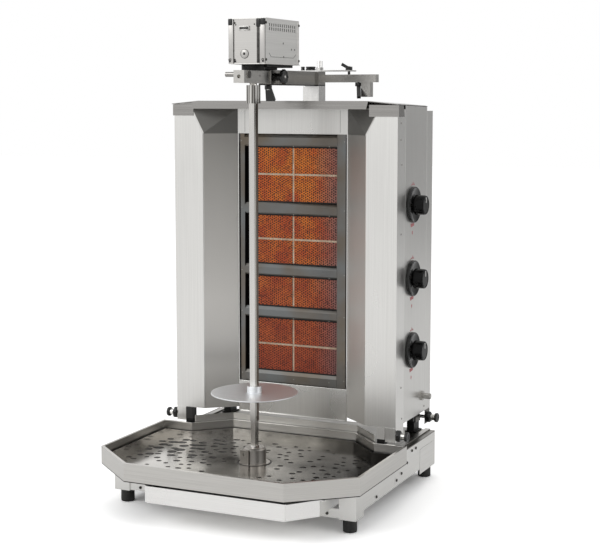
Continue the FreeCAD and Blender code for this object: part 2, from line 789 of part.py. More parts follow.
valve_inlet_radius = 7.0
valve_inlet_length = 4.0
spindle_sunk = 12.0       # into the valve, and into the knob
spindle_room = 3.0
pipe_end = 8.0
nozzle_cone = 8.0
nozzle_mouth = 2.0
bezel_draft = 2.5
knob_edge = 2.0
mark_half = 1.2
mark_rise = 0.8
mark_margin = 4.0
valves = []
pipework = []
bezels = []
fed_burners = 0
for index, (kz, feed_count) in enumerate(zip(knob_heights, valve_feed_counts)):
    number = str(index + 1)
    half_depth = valve_depth / 2
    body = box(valve_back, valve_front, knob_y - half_depth, knob_y + half_depth,
               kz - valve_height / 2, kz + valve_height / 2)
    collar = rod(X_AXIS, valve_front, panel_inner - gap, (knob_y, kz), collar_radius)
    inlet = rod(Y_AXIS, knob_y + half_depth, knob_y + half_depth + valve_inlet_length,
                (manifold_x, kz), valve_inlet_radius)
    spindle_start = valve_back + spindle_sunk
    valve = fused([body, collar, inlet]).cut(
        rod(X_AXIS, spindle_start - gap, tower_half, (knob_y, kz), spindle_radius + fit))
    valves.append(valve)
    spindle_end = knob_start + knob_length - spindle_sunk
    add("valve_spindle_" + number, [rod(X_AXIS, spindle_start, spindle_end, (knob_y, kz), spindle_radius)])
    levels = burner_middle[fed_burners:fed_burners + feed_count]
    fed_burners += feed_count
    stub_levels = levels + [kz]
    riser = rod(Z_AXIS, min(stub_levels) - pipe_end, max(stub_levels) + pipe_end,
                (pipe_x, knob_y), pipe_radius)
    stub = rod(X_AXIS, pipe_x, valve_back, (knob_y, kz), pipe_radius - 1)
    line = [riser, stub]
    for z in levels:
        line.append(rod(X_AXIS, nozzle_tip + nozzle_cone, pipe_x, (knob_y, z), nozzle_radius))
        line.append(Part.makeCone(nozzle_mouth, nozzle_radius, nozzle_cone,
                                  Vector(nozzle_tip, knob_y, z), X_AXIS))
    pipework.append(fused(line))
    probe_z = kz + valve_height / 2 - 4
    probe_y = knob_y + pipe_radius + probe_radius + 1
    probe_x = plenum_half + 2 + probe_radius
    pipework.append(fused([
        rod(Y_AXIS, frame_back, probe_y, (probe_x, probe_z), probe_radius),
        rod(X_AXIS, probe_x, valve_back, (probe_y, probe_z), probe_radius),
        Part.makeSphere(probe_radius, Vector(probe_x, probe_y, probe_z))]))
    bezel_start = tower_half
    bezel = Part.makeCone(bezel_radius, bezel_radius - bezel_draft, bezel_height,
                          Vector(bezel_start, knob_y, kz), X_AXIS)
    bezel = cut(bezel, [
        rod(X_AXIS, bezel_start - 1, bezel_start + bezel_height, (knob_y, kz), spindle_radius + spindle_room),
        rod(X_AXIS, bezel_start + bezel_floor, bezel_start + bezel_height + 1, (knob_y, kz), bezel_recess)])
    bezels.append(bezel)
    grip = rod(X_AXIS, knob_start, knob_start + knob_length, (knob_y, kz), knob_radius)
    grip = grip.makeFillet(knob_edge, [e for e in grip.Edges
                                 if e.BoundBox.XMin > knob_start + knob_length - 0.1])
    socket_end = spindle_end + knob_travel + gap
    grip = grip.cut(rod(X_AXIS, knob_start - 1, socket_end, (knob_y, kz), spindle_radius + fit))
    grip_end = knob_start + knob_length
    mark = box(grip_end - 1, grip_end + mark_rise, knob_y - mark_half, knob_y + mark_half,
               kz + mark_margin, kz + knob_radius - mark_margin)
    add("gas_knob_" + number, [grip.fuse(mark)])
add("gas_valves", valves)
add("gas_pipework", pipework)
add("knob_bezels", bezels)

manifold_y = knob_y + valve_depth / 2 + valve_inlet_length
half = manifold_size / 2
manifold = box(manifold_x - half, manifold_x + half, manifold_y, manifold_y + manifold_size,
               inlet_z - half, max(knob_heights) + valve_height / 2)
elbow = rod(Y_AXIS, manifold_y + manifold_size, inlet_y, (manifold_x, inlet_z), inlet_radius)
corner = Part.makeSphere(inlet_radius, Vector(manifold_x, inlet_y, inlet_z))
nipple = rod(X_AXIS, manifold_x, tower_half + inlet_reach, (inlet_y, inlet_z), inlet_radius)
nut = rod(X_AXIS, tower_half, tower_half + inlet_nut_height, (inlet_y, inlet_z), inlet_nut)
add("gas_manifold", [fused([manifold, elbow, corner, nipple, nut])])

# The roof falls to the rear, and to each side beyond its flat middle

roof_rear = tower_depth + gap + sheet
roof_pitch = roof_fall / (roof_overhang + roof_rear)


def roof_under(x, y):
    height = roof_top - sheet - roof_pitch * (y + roof_overhang)
    side_fall = (roof_top - roof_eave) / (roof_half - roof_flat_half)
    return height - side_fall * max(abs(x) - roof_flat_half, 0)


# Side covers with folded top and rear edges

cover_front = column_side + gap
cover_top_front = roof_under(roof_half, cover_front) - gap
cover_top_rear = roof_under(roof_half, side_panel_rear) - gap
cover = fused([
    prism_x([(cover_front, tower_bottom), (side_panel_rear, tower_bottom), (side_panel_rear, cover_top_rear),
             (cover_front, cover_top_front)], panel_inner, tower_half),
    prism_x([(cover_front, cover_top_front - sheet), (side_panel_rear, cover_top_rear - sheet),
             (side_panel_rear, cover_top_rear), (cover_front, cover_top_front)],
            tower_half - side_return, tower_half)])
cover = cover.cut(box(0, tower_half + 1, cover_front - 1, side_panel_rear + 1, 0, tower_bottom + gap))
knob_holes = [rod(X_AXIS, panel_inner - 1, tower_half + 1, (knob_y, kz), spindle_radius + spindle_room)
              for kz in knob_heights]
knob_holes.append(rod(X_AXIS, panel_inner - 1, tower_half + 1, (inlet_y, inlet_z), inlet_radius + gap))
add("control_panel", [cut(cover, knob_holes)])
add("side_cover", [mirrored(cover)])


# Rear cover with rows of louvre openings

notch_half = roof_half - roof_notch - roof_side_reach
cover_top = [(x, roof_under(x, tower_depth) - gap)
             for x in (notch_half, roof_flat_half, -roof_flat_half, -notch_half)]
rear = prism_y([(-tower_half, tower_bottom), (tower_half, tower_bottom), (tower_half, rear_return_top),
                (notch_half, rear_return_top)] + cover_top
               + [(-notch_half, rear_return_top), (-tower_half, rear_return_top)],
               tower_depth - sheet, tower_depth)
rear_side_front = side_panel_rear + gap
rear_sides = pair(box(panel_inner, tower_half, rear_side_front, tower_depth, tower_bottom, rear_return_top))
vents = []
for row in range(vent_rows):
    for k in range(vent_count):
        vx = (k - (vent_count - 1) / 2) * vent_pitch
        vz = vent_z + row * vent_row_pitch
        vents.append(box(vx - vent_length / 2, vx + vent_length / 2, tower_depth - 5, tower_depth + 1,
                         vz, vz + vent_height))
corner_top = box(notch_half, tower_half, rear_side_front, tower_depth,
                 rear_return_top - sheet, rear_return_top)
add("rear_cover", [cut(fused([rear] + rear_sides + pair(corner_top)), vents)])

# Roof with its front fascia, soffit and rear skirt

roof_line = [(-roof_half, roof_eave), (-roof_flat_half, roof_top), (roof_flat_half, roof_top),
             (roof_half, roof_eave)]
skirt_y = tower_depth + gap
roof_run = Vector(0, roof_overhang + roof_rear, -roof_fall)
roof_sheet = extrude([(x, -roof_overhang, z) for x, z in roof_line]
                     + [(x, -roof_overhang, z - sheet) for x, z in roof_line[::-1]], roof_run)
trim_low = roof_eave - 2 * roof_skirt
side_trim = box(tower_half, roof_half + 1, cover_front, roof_rear + 1, trim_low, roof_top)
corner_y = rear_side_front
corner_trim = box(notch_half, roof_half + 1, corner_y + sheet, roof_rear + 1, trim_low, roof_top)
roof_sheet = cut(roof_sheet, pair(side_trim) + pair(corner_trim))
fascia_half = roof_flat_half - fascia_slant
fascia_left = roof_flat_half + left_fascia_edge
fascia_front = -roof_overhang
fascia_end = roof_under(fascia_left, fascia_front) + sheet
front_fascia = prism_y([(-fascia_left, fascia_end), (-fascia_left, flare_top), (fascia_half, flare_top),
                        (roof_flat_half, roof_top), (-roof_flat_half, roof_top)],
                       fascia_front, fascia_front + sheet)
soffit_edge = column_inner + flare_reach - 1
soffit = prism_z([(-fascia_left, -roof_overhang), (fascia_half, -roof_overhang), (fascia_half, 0),
                  (soffit_edge, 0), (recess_half, recess_depth + sheet), (-recess_half, recess_depth + sheet),
                  (-soffit_edge, 0), (-fascia_left, 0)], flare_top, flare_top + sheet)
skirt_top = roof_under(0, skirt_y)
skirt_end = roof_under(notch_half, skirt_y) + sheet / 2
rear_skirt = prism_y([(-notch_half, skirt_top - roof_skirt), (notch_half, skirt_top - roof_skirt),
                      (notch_half, skirt_end), (roof_flat_half, skirt_top), (-roof_flat_half, skirt_top),
                      (-notch_half, skirt_end)], skirt_y, skirt_y + sheet)
mast_hole = box(-mast_half - gap, mast_half + gap, mast_front - gap, mast_rear + gap,
                roof_top - roof_skirt, roof_top + 5)
seat = rear_return_top + gap
corner_back = tower_depth - sheet - gap
corner_side = prism_x(
    [(corner_y, seat), (corner_back, seat), (corner_back, roof_under(notch_half, corner_back) + sheet / 2),
     (corner_y, roof_under(notch_half, corner_y) + sheet / 2)],
    notch_half - sheet, notch_half)
corner_edge = panel_inner - gap
corner_inner = notch_half - sheet
corner_front = prism_y(
    [(corner_inner, seat), (corner_edge, seat), (corner_edge, roof_under(corner_edge, corner_y) + sheet / 2),
     (corner_inner, roof_under(corner_inner, corner_y) + sheet / 2)],
    corner_y, corner_y + sheet)
add("roof", [fused([roof_sheet, front_fascia, soffit, rear_skirt] + pair(corner_side)
                   + pair(corner_front)).cut(mast_hole)])

right_end = prism_y([(roof_flat_half + gap, end_fascia_bottom), (roof_half, end_fascia_bottom),
                     (roof_half, end_fascia_top - gap), (roof_flat_half + gap, end_fascia_top)], -sheet, 0)
left_inner = fascia_left + gap
left_end = prism_y([(-left_inner, end_fascia_bottom), (-roof_half, end_fascia_bottom),
                    (-roof_half, end_fascia_top - gap), (-left_inner, roof_under(left_inner, 0) - gap)],
                   -sheet, 0)
wrap_slant = 7.0
wrap_end = end_fascia_wrap - wrap_slant
end_side = prism_x([(-sheet, end_fascia_bottom), (end_fascia_wrap, end_fascia_bottom),
                    (wrap_end, roof_under(roof_half, wrap_end) - gap), (-sheet, end_fascia_top - gap)],
                   roof_half - sheet, roof_half)
add("end_fascias", [fused([right_end, end_side]), fused([left_end, mirrored(end_side)])])

# Screws and rivets of the tower, and the black cap knobs on the top plate

rivet_radius = 2.2
rivet_height = 1.2
rivet_edge = 4.0
rivets = ((22.0, 832.0), (20.0, 796.0), (27.0, 742.0), (25.0, 590.0), (32.0, 248.0), (38.0, 177.0))
fasteners = []
for ry, rz in rivets + ((side_panel_rear - rivet_edge, tower_bottom + 12),):
    fasteners += pair(rod(X_AXIS, tower_half, tower_half + rivet_height, (ry, rz), rivet_radius))
cap_base = head_top + plate_thick
fasteners.append(rod(Z_AXIS, cap_base, cap_base + cap_knob_height, (cap_knob_x, mast_y), cap_knob_radius))
fasteners.append(rod(Z_AXIS, cap_base, cap_base + cap_knob_height, (small_cap_x, mast_y), small_cap_radius))
add("tower_screws", fasteners)

# Mast, and the head block with the tube that guides the arm

mast = box(-mast_half, mast_half, mast_front, mast_rear, tower_bottom + leg_sheet, head_bottom)
mast_room = mast_half - mast_wall
mast = mast.cut(box(-mast_room, mast_room, mast_front + mast_wall, mast_rear - mast_wall,
                    tower_bottom + leg_sheet, head_bottom))
add("arm_post", [mast])

head = box(-mast_half, mast_half, mast_front, mast_rear, head_bottom, head_top)
tube = box(-tube_half, tube_half, tube_front, mast_front, head_bottom, head_top)
bar_room = box(-bar_half - gap, bar_half + gap, tube_front - 1, bar_rear + tower_travel + 2,
               bar_bottom - gap, bar_top + gap)
clamp_hole = rod(X_AXIS, 0, mast_half, (clamp_knob_y, clamp_knob_z), bolt_radius + fit)
lever_hole = rod(Z_AXIS, head_bottom - 1, bar_bottom, (0, lever_a_y), bolt_radius + fit)
add("slide_tube", [cut(fused([head, tube]), [bar_room, clamp_hole, lever_hole])])

top_plate = box(plate_left, plate_right, mast_front, mast_rear, head_top, head_top + plate_thick)
lever_bolt = 3.0
top_plate = top_plate.cut(rod(Z_AXIS, head_top - 1, cap_base + 1, (lever_b_x, mast_y), lever_bolt + fit))
pivot = rod(Z_AXIS, cap_base, cap_base + pivot_height, (pivot_x, mast_y), pivot_radius)
pivot_nut = prism_z(hexagon(pivot_x, mast_y, pivot_nut_flat), cap_base, cap_base + pivot_nut_height)
add("top_plate", [fused([top_plate, pivot, pivot_nut])])

cross_bar = box(mast_half, cross_bar_right, mast_y - cross_bar_half, mast_y + cross_bar_half,
                cross_bar_bottom, cross_bar_top)
lever_tap = rod(Z_AXIS, cross_bar_bottom - 1, cross_bar_bottom + 12, (lever_c_x, mast_y), lever_bolt + fit)
hanger = box(hang_left, hang_right, mast_y - cross_bar_half, mast_y + cross_bar_half,
             hang_bottom, cross_bar_bottom)
add("cross_bar", [cross_bar.fuse(hanger).removeSplitter().cut(lever_tap)])

# Clamp knob on the side of the tube, and three clamping levers

clamp_grip = rod(X_AXIS, clamp_knob_start, clamp_knob_end, (clamp_knob_y, clamp_knob_z), clamp_knob_radius)
clamp_notch = 4.5
clamp_notch_reach = clamp_knob_radius + 2.5
for k in range(clamp_knob_lobes):
    a = 2 * math.pi * k / clamp_knob_lobes
    notch = (clamp_knob_y + clamp_notch_reach * math.cos(a), clamp_knob_z + clamp_notch_reach * math.sin(a))
    clamp_grip = clamp_grip.cut(rod(X_AXIS, clamp_knob_start - 1, clamp_knob_end + 1, notch, clamp_notch))
clamp_stem = rod(X_AXIS, tube_half + gap, clamp_knob_start, (clamp_knob_y, clamp_knob_z), lever_hub_radius)
clamp_screw = rod(X_AXIS, bar_half + gap, clamp_knob_start + 2, (clamp_knob_y, clamp_knob_z), bolt_radius)
add("clamp_knob", [fused([clamp_grip, clamp_stem, clamp_screw])])


def lever(hub_x, hub_y, hub_low, hub_high, tip, root_share, tip_width, shank_low, shank_high, shank_radius):
    """Clamping lever: an upright hub, a flat tapered handle towards the tip, and a threaded shank."""
    hub = rod(Z_AXIS, hub_low, hub_high, (hub_x, hub_y), lever_hub_radius)
    start = Vector(hub_x, hub_y, (hub_low + hub_high) / 2)
    along = Vector(*tip) - start
    across = Vector(-along.y, along.x, 0)
    across.normalize()
    up = along.cross(across)
    up.normalize()
    root_half = lever_hub_radius * root_share
    tip_half = tip_width / 2
    corners = [start + across * root_half, start - across * root_half,
               Vector(*tip) - across * tip_half, Vector(*tip) + across * tip_half]
    half_up = up * (lever_thick / 2)
    handle = extrude([tuple(c - half_up) for c in corners], half_up * 2)
    shank = rod(Z_AXIS, shank_low, shank_high, (hub_x, hub_y), shank_radius)
    return fused([hub, handle, shank])


hub_height = 9.0
plate_hub_top = cap_base + hub_height - 1
add("arm_lever", [lever(0, lever_a_y, head_bottom - hub_height, head_bottom - gap,
                        (-1.5, lever_a_y + 16, head_bottom - lever_a_drop), 0.75, 21,
                        head_bottom - 1, bar_bottom - gap, bolt_radius)])
add("plate_lever", [lever(lever_b_x, mast_y, cap_base + gap, plate_hub_top,
                          (lever_b_x - 16, mast_y - 6, plate_hub_top + 6), 0.6, 9,
                          cross_bar_top + gap, cap_base + 1, lever_bolt)])
add("bar_lever", [lever(lever_c_x, mast_y, cross_bar_bottom - hub_height, cross_bar_bottom - gap,
                        (lever_c_x + 13, mast_y - 30, hang_bottom - 1), 0.6, 9,
                        cross_bar_bottom - 1, cross_bar_bottom + 11, lever_bolt)])

# Sliding arm bar and its cross rod

end_hole_radius = 4.0
end_hole_depth = 11.0
cross_cap_height = 2.0
arm_bar = box(-bar_half, bar_half, bar_front, bar_rear, bar_bottom, bar_top)
arm_bar = cut(arm_bar, [
    rod(Z_AXIS, bar_bottom - 1, bar_top + 1, (0, spit_y), shaft_radius + 1),
    rod(Y_AXIS, bar_front - 1, bar_front + end_hole_depth, (0, (bar_bottom + bar_top) / 2), end_hole_radius),
    rod(X_AXIS, -bar_half - 1, bar_half + 1, (cross_rod_y, cross_rod_z), cross_rod_radius + fit)])
add("arm_bar", [arm_bar])
cross_rod = rod(X_AXIS, -cross_rod_reach, bar_half + 1, (cross_rod_y, cross_rod_z), cross_rod_radius)
cross_rod_cap = rod(X_AXIS, bar_half, bar_half + cross_cap_height, (cross_rod_y, cross_rod_z), cross_rod_head)
add("arm_rod", [fused([cross_rod, cross_rod_cap])])

# Motor base with the shaft flange, gear motor, case, front plate and sockets

case_bottom = motor_bottom - case_sheet
base_plate = box(-motor_base_half, motor_base_half, motor_base_front, motor_base_rear,
                 motor_base_bottom, case_bottom)
flange = rod(Z_AXIS, bar_top, case_bottom, (0, spit_y), flange_radius)
strap = box(-bar_half, bar_half, spit_y, spit_y + strap_length, head_top + gap, motor_base_bottom)
shaft_bore = rod(Z_AXIS, bar_top - 1, motor_bottom + 1, (0, spit_y), shaft_radius + fit)
add("motor_base", [base_plate.cut(flange), flange.cut(shaft_bore), strap.cut(flange)])

gear_half = 32.0
gear_height = 38.0
can_radius = 26.0
gear_room = 4.0           # from the motor to the front plate and to the lid
gear_top = motor_bottom + gear_height
gear_box = box(-gear_half, gear_half, motor_front + gear_room, motor_front + gear_box_length,
               motor_bottom, gear_top)
motor_can = rod(Z_AXIS, gear_top, motor_top - lid_sheet - gear_room, (0, motor_front + motor_can_place),
                can_radius)
shaft_top = motor_bottom + shaft_socket
gear_bore = rod(Z_AXIS, motor_bottom - 1, shaft_top + gap, (0, spit_y), shaft_radius + fit)
add("gear_motor", [fused([gear_box, motor_can]).cut(gear_bore)])

case_top = motor_top - lid_sheet
corner_posts = []
for sx in (-1, 1):
    for y0 in (motor_front, motor_rear - corner_size):
        x0 = motor_half - corner_size if sx > 0 else -motor_half
        post = box(x0, x0 + corner_size, y0, y0 + corner_size, motor_bottom, case_top)
        outer_x = sx * motor_half
        outer_y = y0 if y0 < motor_front + 1 else y0 + corner_size
        edges = [e for e in post.Edges
                 if abs(e.CenterOfMass.x - outer_x) < 0.1 and abs(e.CenterOfMass.y - outer_y) < 0.1]
        corner_posts.append(post.makeFillet(corner_round, edges))
plate_half = motor_half - corner_size
plate_sunk = 1.0          # of the front, rear and side plates behind the corner posts
side_y0 = motor_front + corner_size
side_y1 = motor_rear - corner_size
side_x = motor_half - plate_sunk
side_plate = box(side_x - case_sheet, side_x, side_y0, side_y1, motor_bottom, case_top)
slots = []
slot_start = (side_y0 + side_y1) / 2 - (vent_slot_count - 1) / 2 * vent_slot_pitch
for row in range(2):
    for k in range(vent_slot_count):
        sy = slot_start + k * vent_slot_pitch
        sz = case_top - vent_slot_drop - row * vent_slot_row
        slots.append(box(0, motor_half + 1, sy - vent_slot_width / 2, sy + vent_slot_width / 2,
                         sz - vent_slot_height / 2, sz + vent_slot_height / 2))
side_plate = side_plate.cut(Part.makeCompound(slots))
rear_plate = box(-plate_half, plate_half, motor_rear - plate_sunk - case_sheet, motor_rear - plate_sunk,
                 motor_bottom, case_top)
lid = box(-motor_half, motor_half, motor_front, motor_rear, case_top, motor_top)
lid = lid.makeFillet(corner_round, [e for e in lid.Edges if abs(e.tangentAt(e.FirstParameter).z) > 0.9])
case_floor = box(-motor_half, motor_half, motor_front, motor_rear, case_bottom, motor_bottom).cut(shaft_bore)
add("motor_case", corner_posts + pair(side_plate) + [rear_plate, lid, case_floor])

front_y = motor_front + plate_sunk
front_plate = box(-plate_half, plate_half, front_y, front_y + case_sheet, motor_bottom, case_top)
plug_hole = box(plug_x - plug_width / 2, plug_x + plug_width / 2, front_y - 1, front_y + case_sheet + 1,
                plug_z - plug_height / 2, plug_z + plug_height / 2)
fitting_hole = rod(Y_AXIS, front_y - 1, front_y + case_sheet + 1,
                   (plug_x, round_fitting_z), round_fitting_radius)
add("motor_front_plate", [cut(front_plate, [plug_hole, fitting_hole])])

wall = 1.5
plug = box(plug_x - plug_width / 2 + fit, plug_x + plug_width / 2 - fit, front_y - 1, front_y + 3,
           plug_z - plug_height / 2 + fit, plug_z + plug_height / 2 - fit)
plug = plug.cut(box(plug_x - plug_width / 2 + wall, plug_x + plug_width / 2 - wall, front_y - 2, front_y + 2,
                    plug_z - plug_height / 2 + wall, plug_z + plug_height / 2 - wall))
fitting = fused([
    rod(Y_AXIS, front_y - 1.5, front_y, (plug_x, round_fitting_z), round_fitting_radius + 2),
    rod(Y_AXIS, front_y, front_y + 2.5, (plug_x, round_fitting_z), round_fitting_radius - fit)])
fitting = fitting.cut(rod(Y_AXIS, front_y - 2, front_y + 1, (plug_x, round_fitting_z), 3.0))
add("motor_sockets", [plug, fitting])

post_screw_radius = 2.8
plate_screw_radius = 2.2
screw_margin = 8.0        # of a screw from the floor and the top of the case
post_screw_inset = corner_size / 2 + 0.6
plate_screw_inset = corner_size + 6.0
screw_places = []
for sz in (motor_bottom + screw_margin, case_top - screw_margin):
    for sx in (-1, 1):
        for y0 in (motor_front + post_screw_inset, motor_rear - post_screw_inset):
            x0 = motor_half if sx > 0 else -motor_half - rivet_height
            screw_places.append(rod(X_AXIS, x0, x0 + rivet_height, (y0, sz), post_screw_radius))
        screw_places.append(rod(Y_AXIS, motor_front - rivet_height, motor_front,
                                (sx * (motor_half - post_screw_inset), sz), post_screw_radius))
        screw_places.append(rod(Y_AXIS, front_y - rivet_height, front_y,
                                (sx * (motor_half - plate_screw_inset), sz), plate_screw_radius))
add("case_screws", screw_places)

# Drive shaft with the square sleeve that takes the head of the spit

shaft = rod(Z_AXIS, head_bottom - 1, shaft_top, (0, spit_y), shaft_radius)
sleeve = square_rod(sleeve_size, sleeve_bottom, head_bottom - gap)
socket = square_rod(spit_size + 2 * socket_play, sleeve_bottom - 1, sleeve_bottom + sleeve_socket)
add("drive_shaft", [fused([shaft, sleeve]).cut(socket)])

# Spit: square bar, pinned to a slimmer foot stub with a round journal

tenon_radius = 4.0
tenon_length = 16.0
pin_radius = 2.2
pin_rise = 7.6
journal_rise = 3.0        # of the journal above its bearing
upper = square_rod(spit_size, spit_joint_z, sleeve_bottom + sleeve_socket - gap)
tenon_hole = rod(Z_AXIS, spit_joint_z - 1, spit_joint_z + tenon_length + gap, (0, spit_y), tenon_radius + fit)
pin_z = spit_joint_z + pin_rise
pin_hole = rod(X_AXIS, -spit_size, spit_size, (spit_y, pin_z), pin_radius + fit)
stub = fused([
    rod(Z_AXIS, cup_floor + gap, cup_top + journal_rise, (0, spit_y), journal_radius),
    square_rod(stub_size, cup_top + journal_rise, spit_joint_z),
    rod(Z_AXIS, spit_joint_z, spit_joint_z + tenon_length, (0, spit_y), tenon_radius)])
pin = rod(X_AXIS, -spit_size / 2 - 1, spit_size / 2 + 1, (spit_y, pin_z), pin_radius)
add("spit_bar", [cut(upper, [tenon_hole, pin_hole]), stub.cut(pin_hole), pin])

# Foot bearing with its clip lug, standing in the round hole of the liner

cup_bevel = 4.0
cup_flange_sheet = 2.2
cup = rod(Z_AXIS, tray_floor, cup_top, (0, spit_y), cup_radius)
cup = cup.makeChamfer(cup_bevel, [e for e in cup.Edges if e.BoundBox.ZMin > cup_top - 0.1])
cup_flange = rod(Z_AXIS, tray_floor, tray_floor + cup_flange_sheet, (0, spit_y), cup_flange_radius)
cup_bore = rod(Z_AXIS, cup_floor, cup_top + 1, (0, spit_y), journal_radius + gap)
lug_x = -10.5
lug_half = 10.0
lug_sheet = 3.0
lug_front = spit_y - cup_radius - 5
lug_rear = spit_y - cup_radius + 7
lug_upper = cup_top - 3
lug_hole_radius = 3.5
lug = box(lug_x - lug_half, lug_x + lug_half, lug_front, lug_front + lug_sheet, tray_floor, lug_upper)
lug_top = box(lug_x - lug_half, lug_x + lug_half, lug_front, lug_rear, lug_upper - lug_sheet, lug_upper)
lug_hole = rod(Y_AXIS, lug_front - 1, lug_front + lug_sheet + 1, (lug_x, lug_upper - 9), lug_hole_radius)
add("spit_foot", [cut(fused([cup, cup_flange, lug, lug_top]), [cup_bore, lug_hole])])

# Meat disc on a hub with set screws

disc = rod(Z_AXIS, disc_z, disc_z + disc_thick, (0, spit_y), disc_radius)
hub = rod(Z_AXIS, disc_z + disc_thick, disc_z + disc_thick + disc_hub_height, (0, spit_y), disc_hub_radius)
disc_hole = square_rod(spit_size + 2 * socket_play, disc_z - 1, disc_z + disc_thick + disc_hub_height + 1)
add("meat_disc", [fused([disc, hub]).cut(disc_hole)])

# Grease drawer, its front panel and the runners under the tray

drawer_plan = [
    (drawer_left, drawer_front_y), (drawer_corner_x, drawer_front_y), (drawer_right, drawer_corner_y),
    (drawer_right, drawer_rear), (drawer_left, drawer_rear)]
lip_start = drawer_front_y + 8
drawer_box = prism_z(drawer_plan, drawer_bottom, drawer_top)
drawer_box = drawer_box.cut(
    prism_z(offset_path(drawer_plan, sheet, True), drawer_bottom + sheet, drawer_top + 1))
drawer_lips = [
    box(drawer_left - drawer_lip, drawer_left + sheet, lip_start, drawer_rear,
        drawer_top - sheet, drawer_top),
    box(drawer_right - sheet, drawer_right + drawer_lip, drawer_corner_y, drawer_rear,
        drawer_top - sheet, drawer_top)]
add("grease_drawer", [fused([drawer_box] + drawer_lips)])

panel_front = drawer_front_y - drawer_panel_sheet
panel_return = drawer_front_y + drawer_panel_return
panel = fused([
    box(drawer_panel_left, drawer_panel_right, panel_front, drawer_front_y,
        drawer_panel_bottom, drawer_panel_top),
    box(drawer_panel_left, drawer_panel_right, panel_front, panel_return, drawer_top, drawer_panel_top),
    box(drawer_panel_left, drawer_left, panel_front, panel_return, drawer_panel_bottom, drawer_panel_top)])
add("drawer_front", [panel])

lip_clear = drawer_lip + gap * 3
flange_clear = 1.0        # from the drawer wall to the flanges of its runner
runner_margin = 2.0
runner_low = drawer_top - sheet - gap - sheet


def runner(wall_x, side, y0, y1):
    """Channel that holds a drawer lip; the wall of the drawer is at wall_x and the lip points to side."""
    web = wall_x + side * lip_clear
    inner = wall_x + side * flange_clear
    outer = web + side * sheet
    x_low, x_high = sorted((inner, outer))
    w_low, w_high = sorted((web, outer))
    return fused([
        box(w_low, w_high, y0, y1, runner_low, tray_underside),
        box(x_low, x_high, y0, y1, runner_low, runner_low + sheet),
        box(x_low, x_high, y0, y1, tray_underside - sheet, tray_underside)])


runner_rear = drawer_rear + runner_margin
add("drawer_runners", [runner(drawer_right, 1, drawer_corner_y + 2 * runner_margin, runner_rear),
                       runner(drawer_left, -1, lip_start + runner_margin, runner_rear)])

# The finished pieces move so that the origin is under the middle of the whole grill

whole = Part.makeCompound(list(pieces.values())).BoundBox
shift = Vector(-(whole.XMin + whole.XMax) / 2, -(whole.YMin + whole.YMax) / 2, -whole.ZMin)
for name, shape in pieces.items():
    shape.translate(shift)
    shape.exportStep(f"parts/{name}.step")
print("pieces", len(pieces), "shift", shift)
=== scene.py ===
import math

import bmesh
import bpy
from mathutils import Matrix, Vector


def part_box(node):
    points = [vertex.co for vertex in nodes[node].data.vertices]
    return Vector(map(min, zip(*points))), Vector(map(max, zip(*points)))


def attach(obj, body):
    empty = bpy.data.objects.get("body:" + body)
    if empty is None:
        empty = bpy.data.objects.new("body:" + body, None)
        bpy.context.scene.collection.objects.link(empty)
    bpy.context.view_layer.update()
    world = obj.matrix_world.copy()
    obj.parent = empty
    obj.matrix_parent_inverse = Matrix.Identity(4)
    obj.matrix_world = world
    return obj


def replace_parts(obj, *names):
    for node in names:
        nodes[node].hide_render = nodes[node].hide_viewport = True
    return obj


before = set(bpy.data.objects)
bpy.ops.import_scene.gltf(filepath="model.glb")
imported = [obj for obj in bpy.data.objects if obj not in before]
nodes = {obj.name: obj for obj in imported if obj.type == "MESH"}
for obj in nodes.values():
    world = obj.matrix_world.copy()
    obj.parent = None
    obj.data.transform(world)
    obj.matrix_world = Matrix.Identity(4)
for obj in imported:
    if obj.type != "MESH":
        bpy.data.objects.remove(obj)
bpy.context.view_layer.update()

# The photo is a catalogue shot: a long lens from the operator's right, at about the height of
# the roof and looking slightly down, on a white sweep. The tray front is nearest to the camera.
camera_data = bpy.data.cameras.new("camera")
camera_data.sensor_width = 36.0
camera_data.lens = 82.308
camera_data.shift_y = -0.0592
camera_data.clip_end = 60.0
camera = bpy.data.objects.new("camera", camera_data)
camera.location = (1.3090, -2.70045, 0.8911)
camera.rotation_euler = (math.radians(84.0), 0.0, math.radians(24.5))
bpy.context.scene.collection.objects.link(camera)
bpy.context.scene.camera = camera
bpy.context.scene.view_settings.view_transform = "Standard"


# The white sweep: a flat floor that shows white to the lens and to the polished steel, and
# keeps the soft shadow of the grill, with a white room behind it.
def white_to_lens(tree):
    """One for the rays that show the background itself, nought for the light that it gives."""
    paths = tree.nodes.new("ShaderNodeLightPath")
    seen = paths.outputs["Is Camera Ray"]
    for kind in ("Is Glossy Ray", "Is Transmission Ray"):
        either = tree.nodes.new("ShaderNodeMath")
        either.operation = "MAXIMUM"
        tree.links.new(seen, either.inputs[0])
        tree.links.new(paths.outputs[kind], either.inputs[1])
        seen = either.outputs[0]
    return seen


world = bpy.data.worlds.new("white_room")
bpy.context.scene.world = world
world.use_nodes = True
room = world.node_tree
room_light = room.nodes["Background"]
room_light.inputs["Color"].default_value = (0.62, 0.62, 0.62, 1.0)
room_white = room.nodes.new("ShaderNodeBackground")
room_white.inputs["Color"].default_value = (1.0, 1.0, 1.0, 1.0)
room_mix = room.nodes.new("ShaderNodeMixShader")
room.links.new(white_to_lens(room), room_mix.inputs["Fac"])
room.links.new(room_light.outputs[0], room_mix.inputs[1])
room.links.new(room_white.outputs[0], room_mix.inputs[2])
room.links.new(room_mix.outputs[0], room.nodes["World Output"].inputs["Surface"])

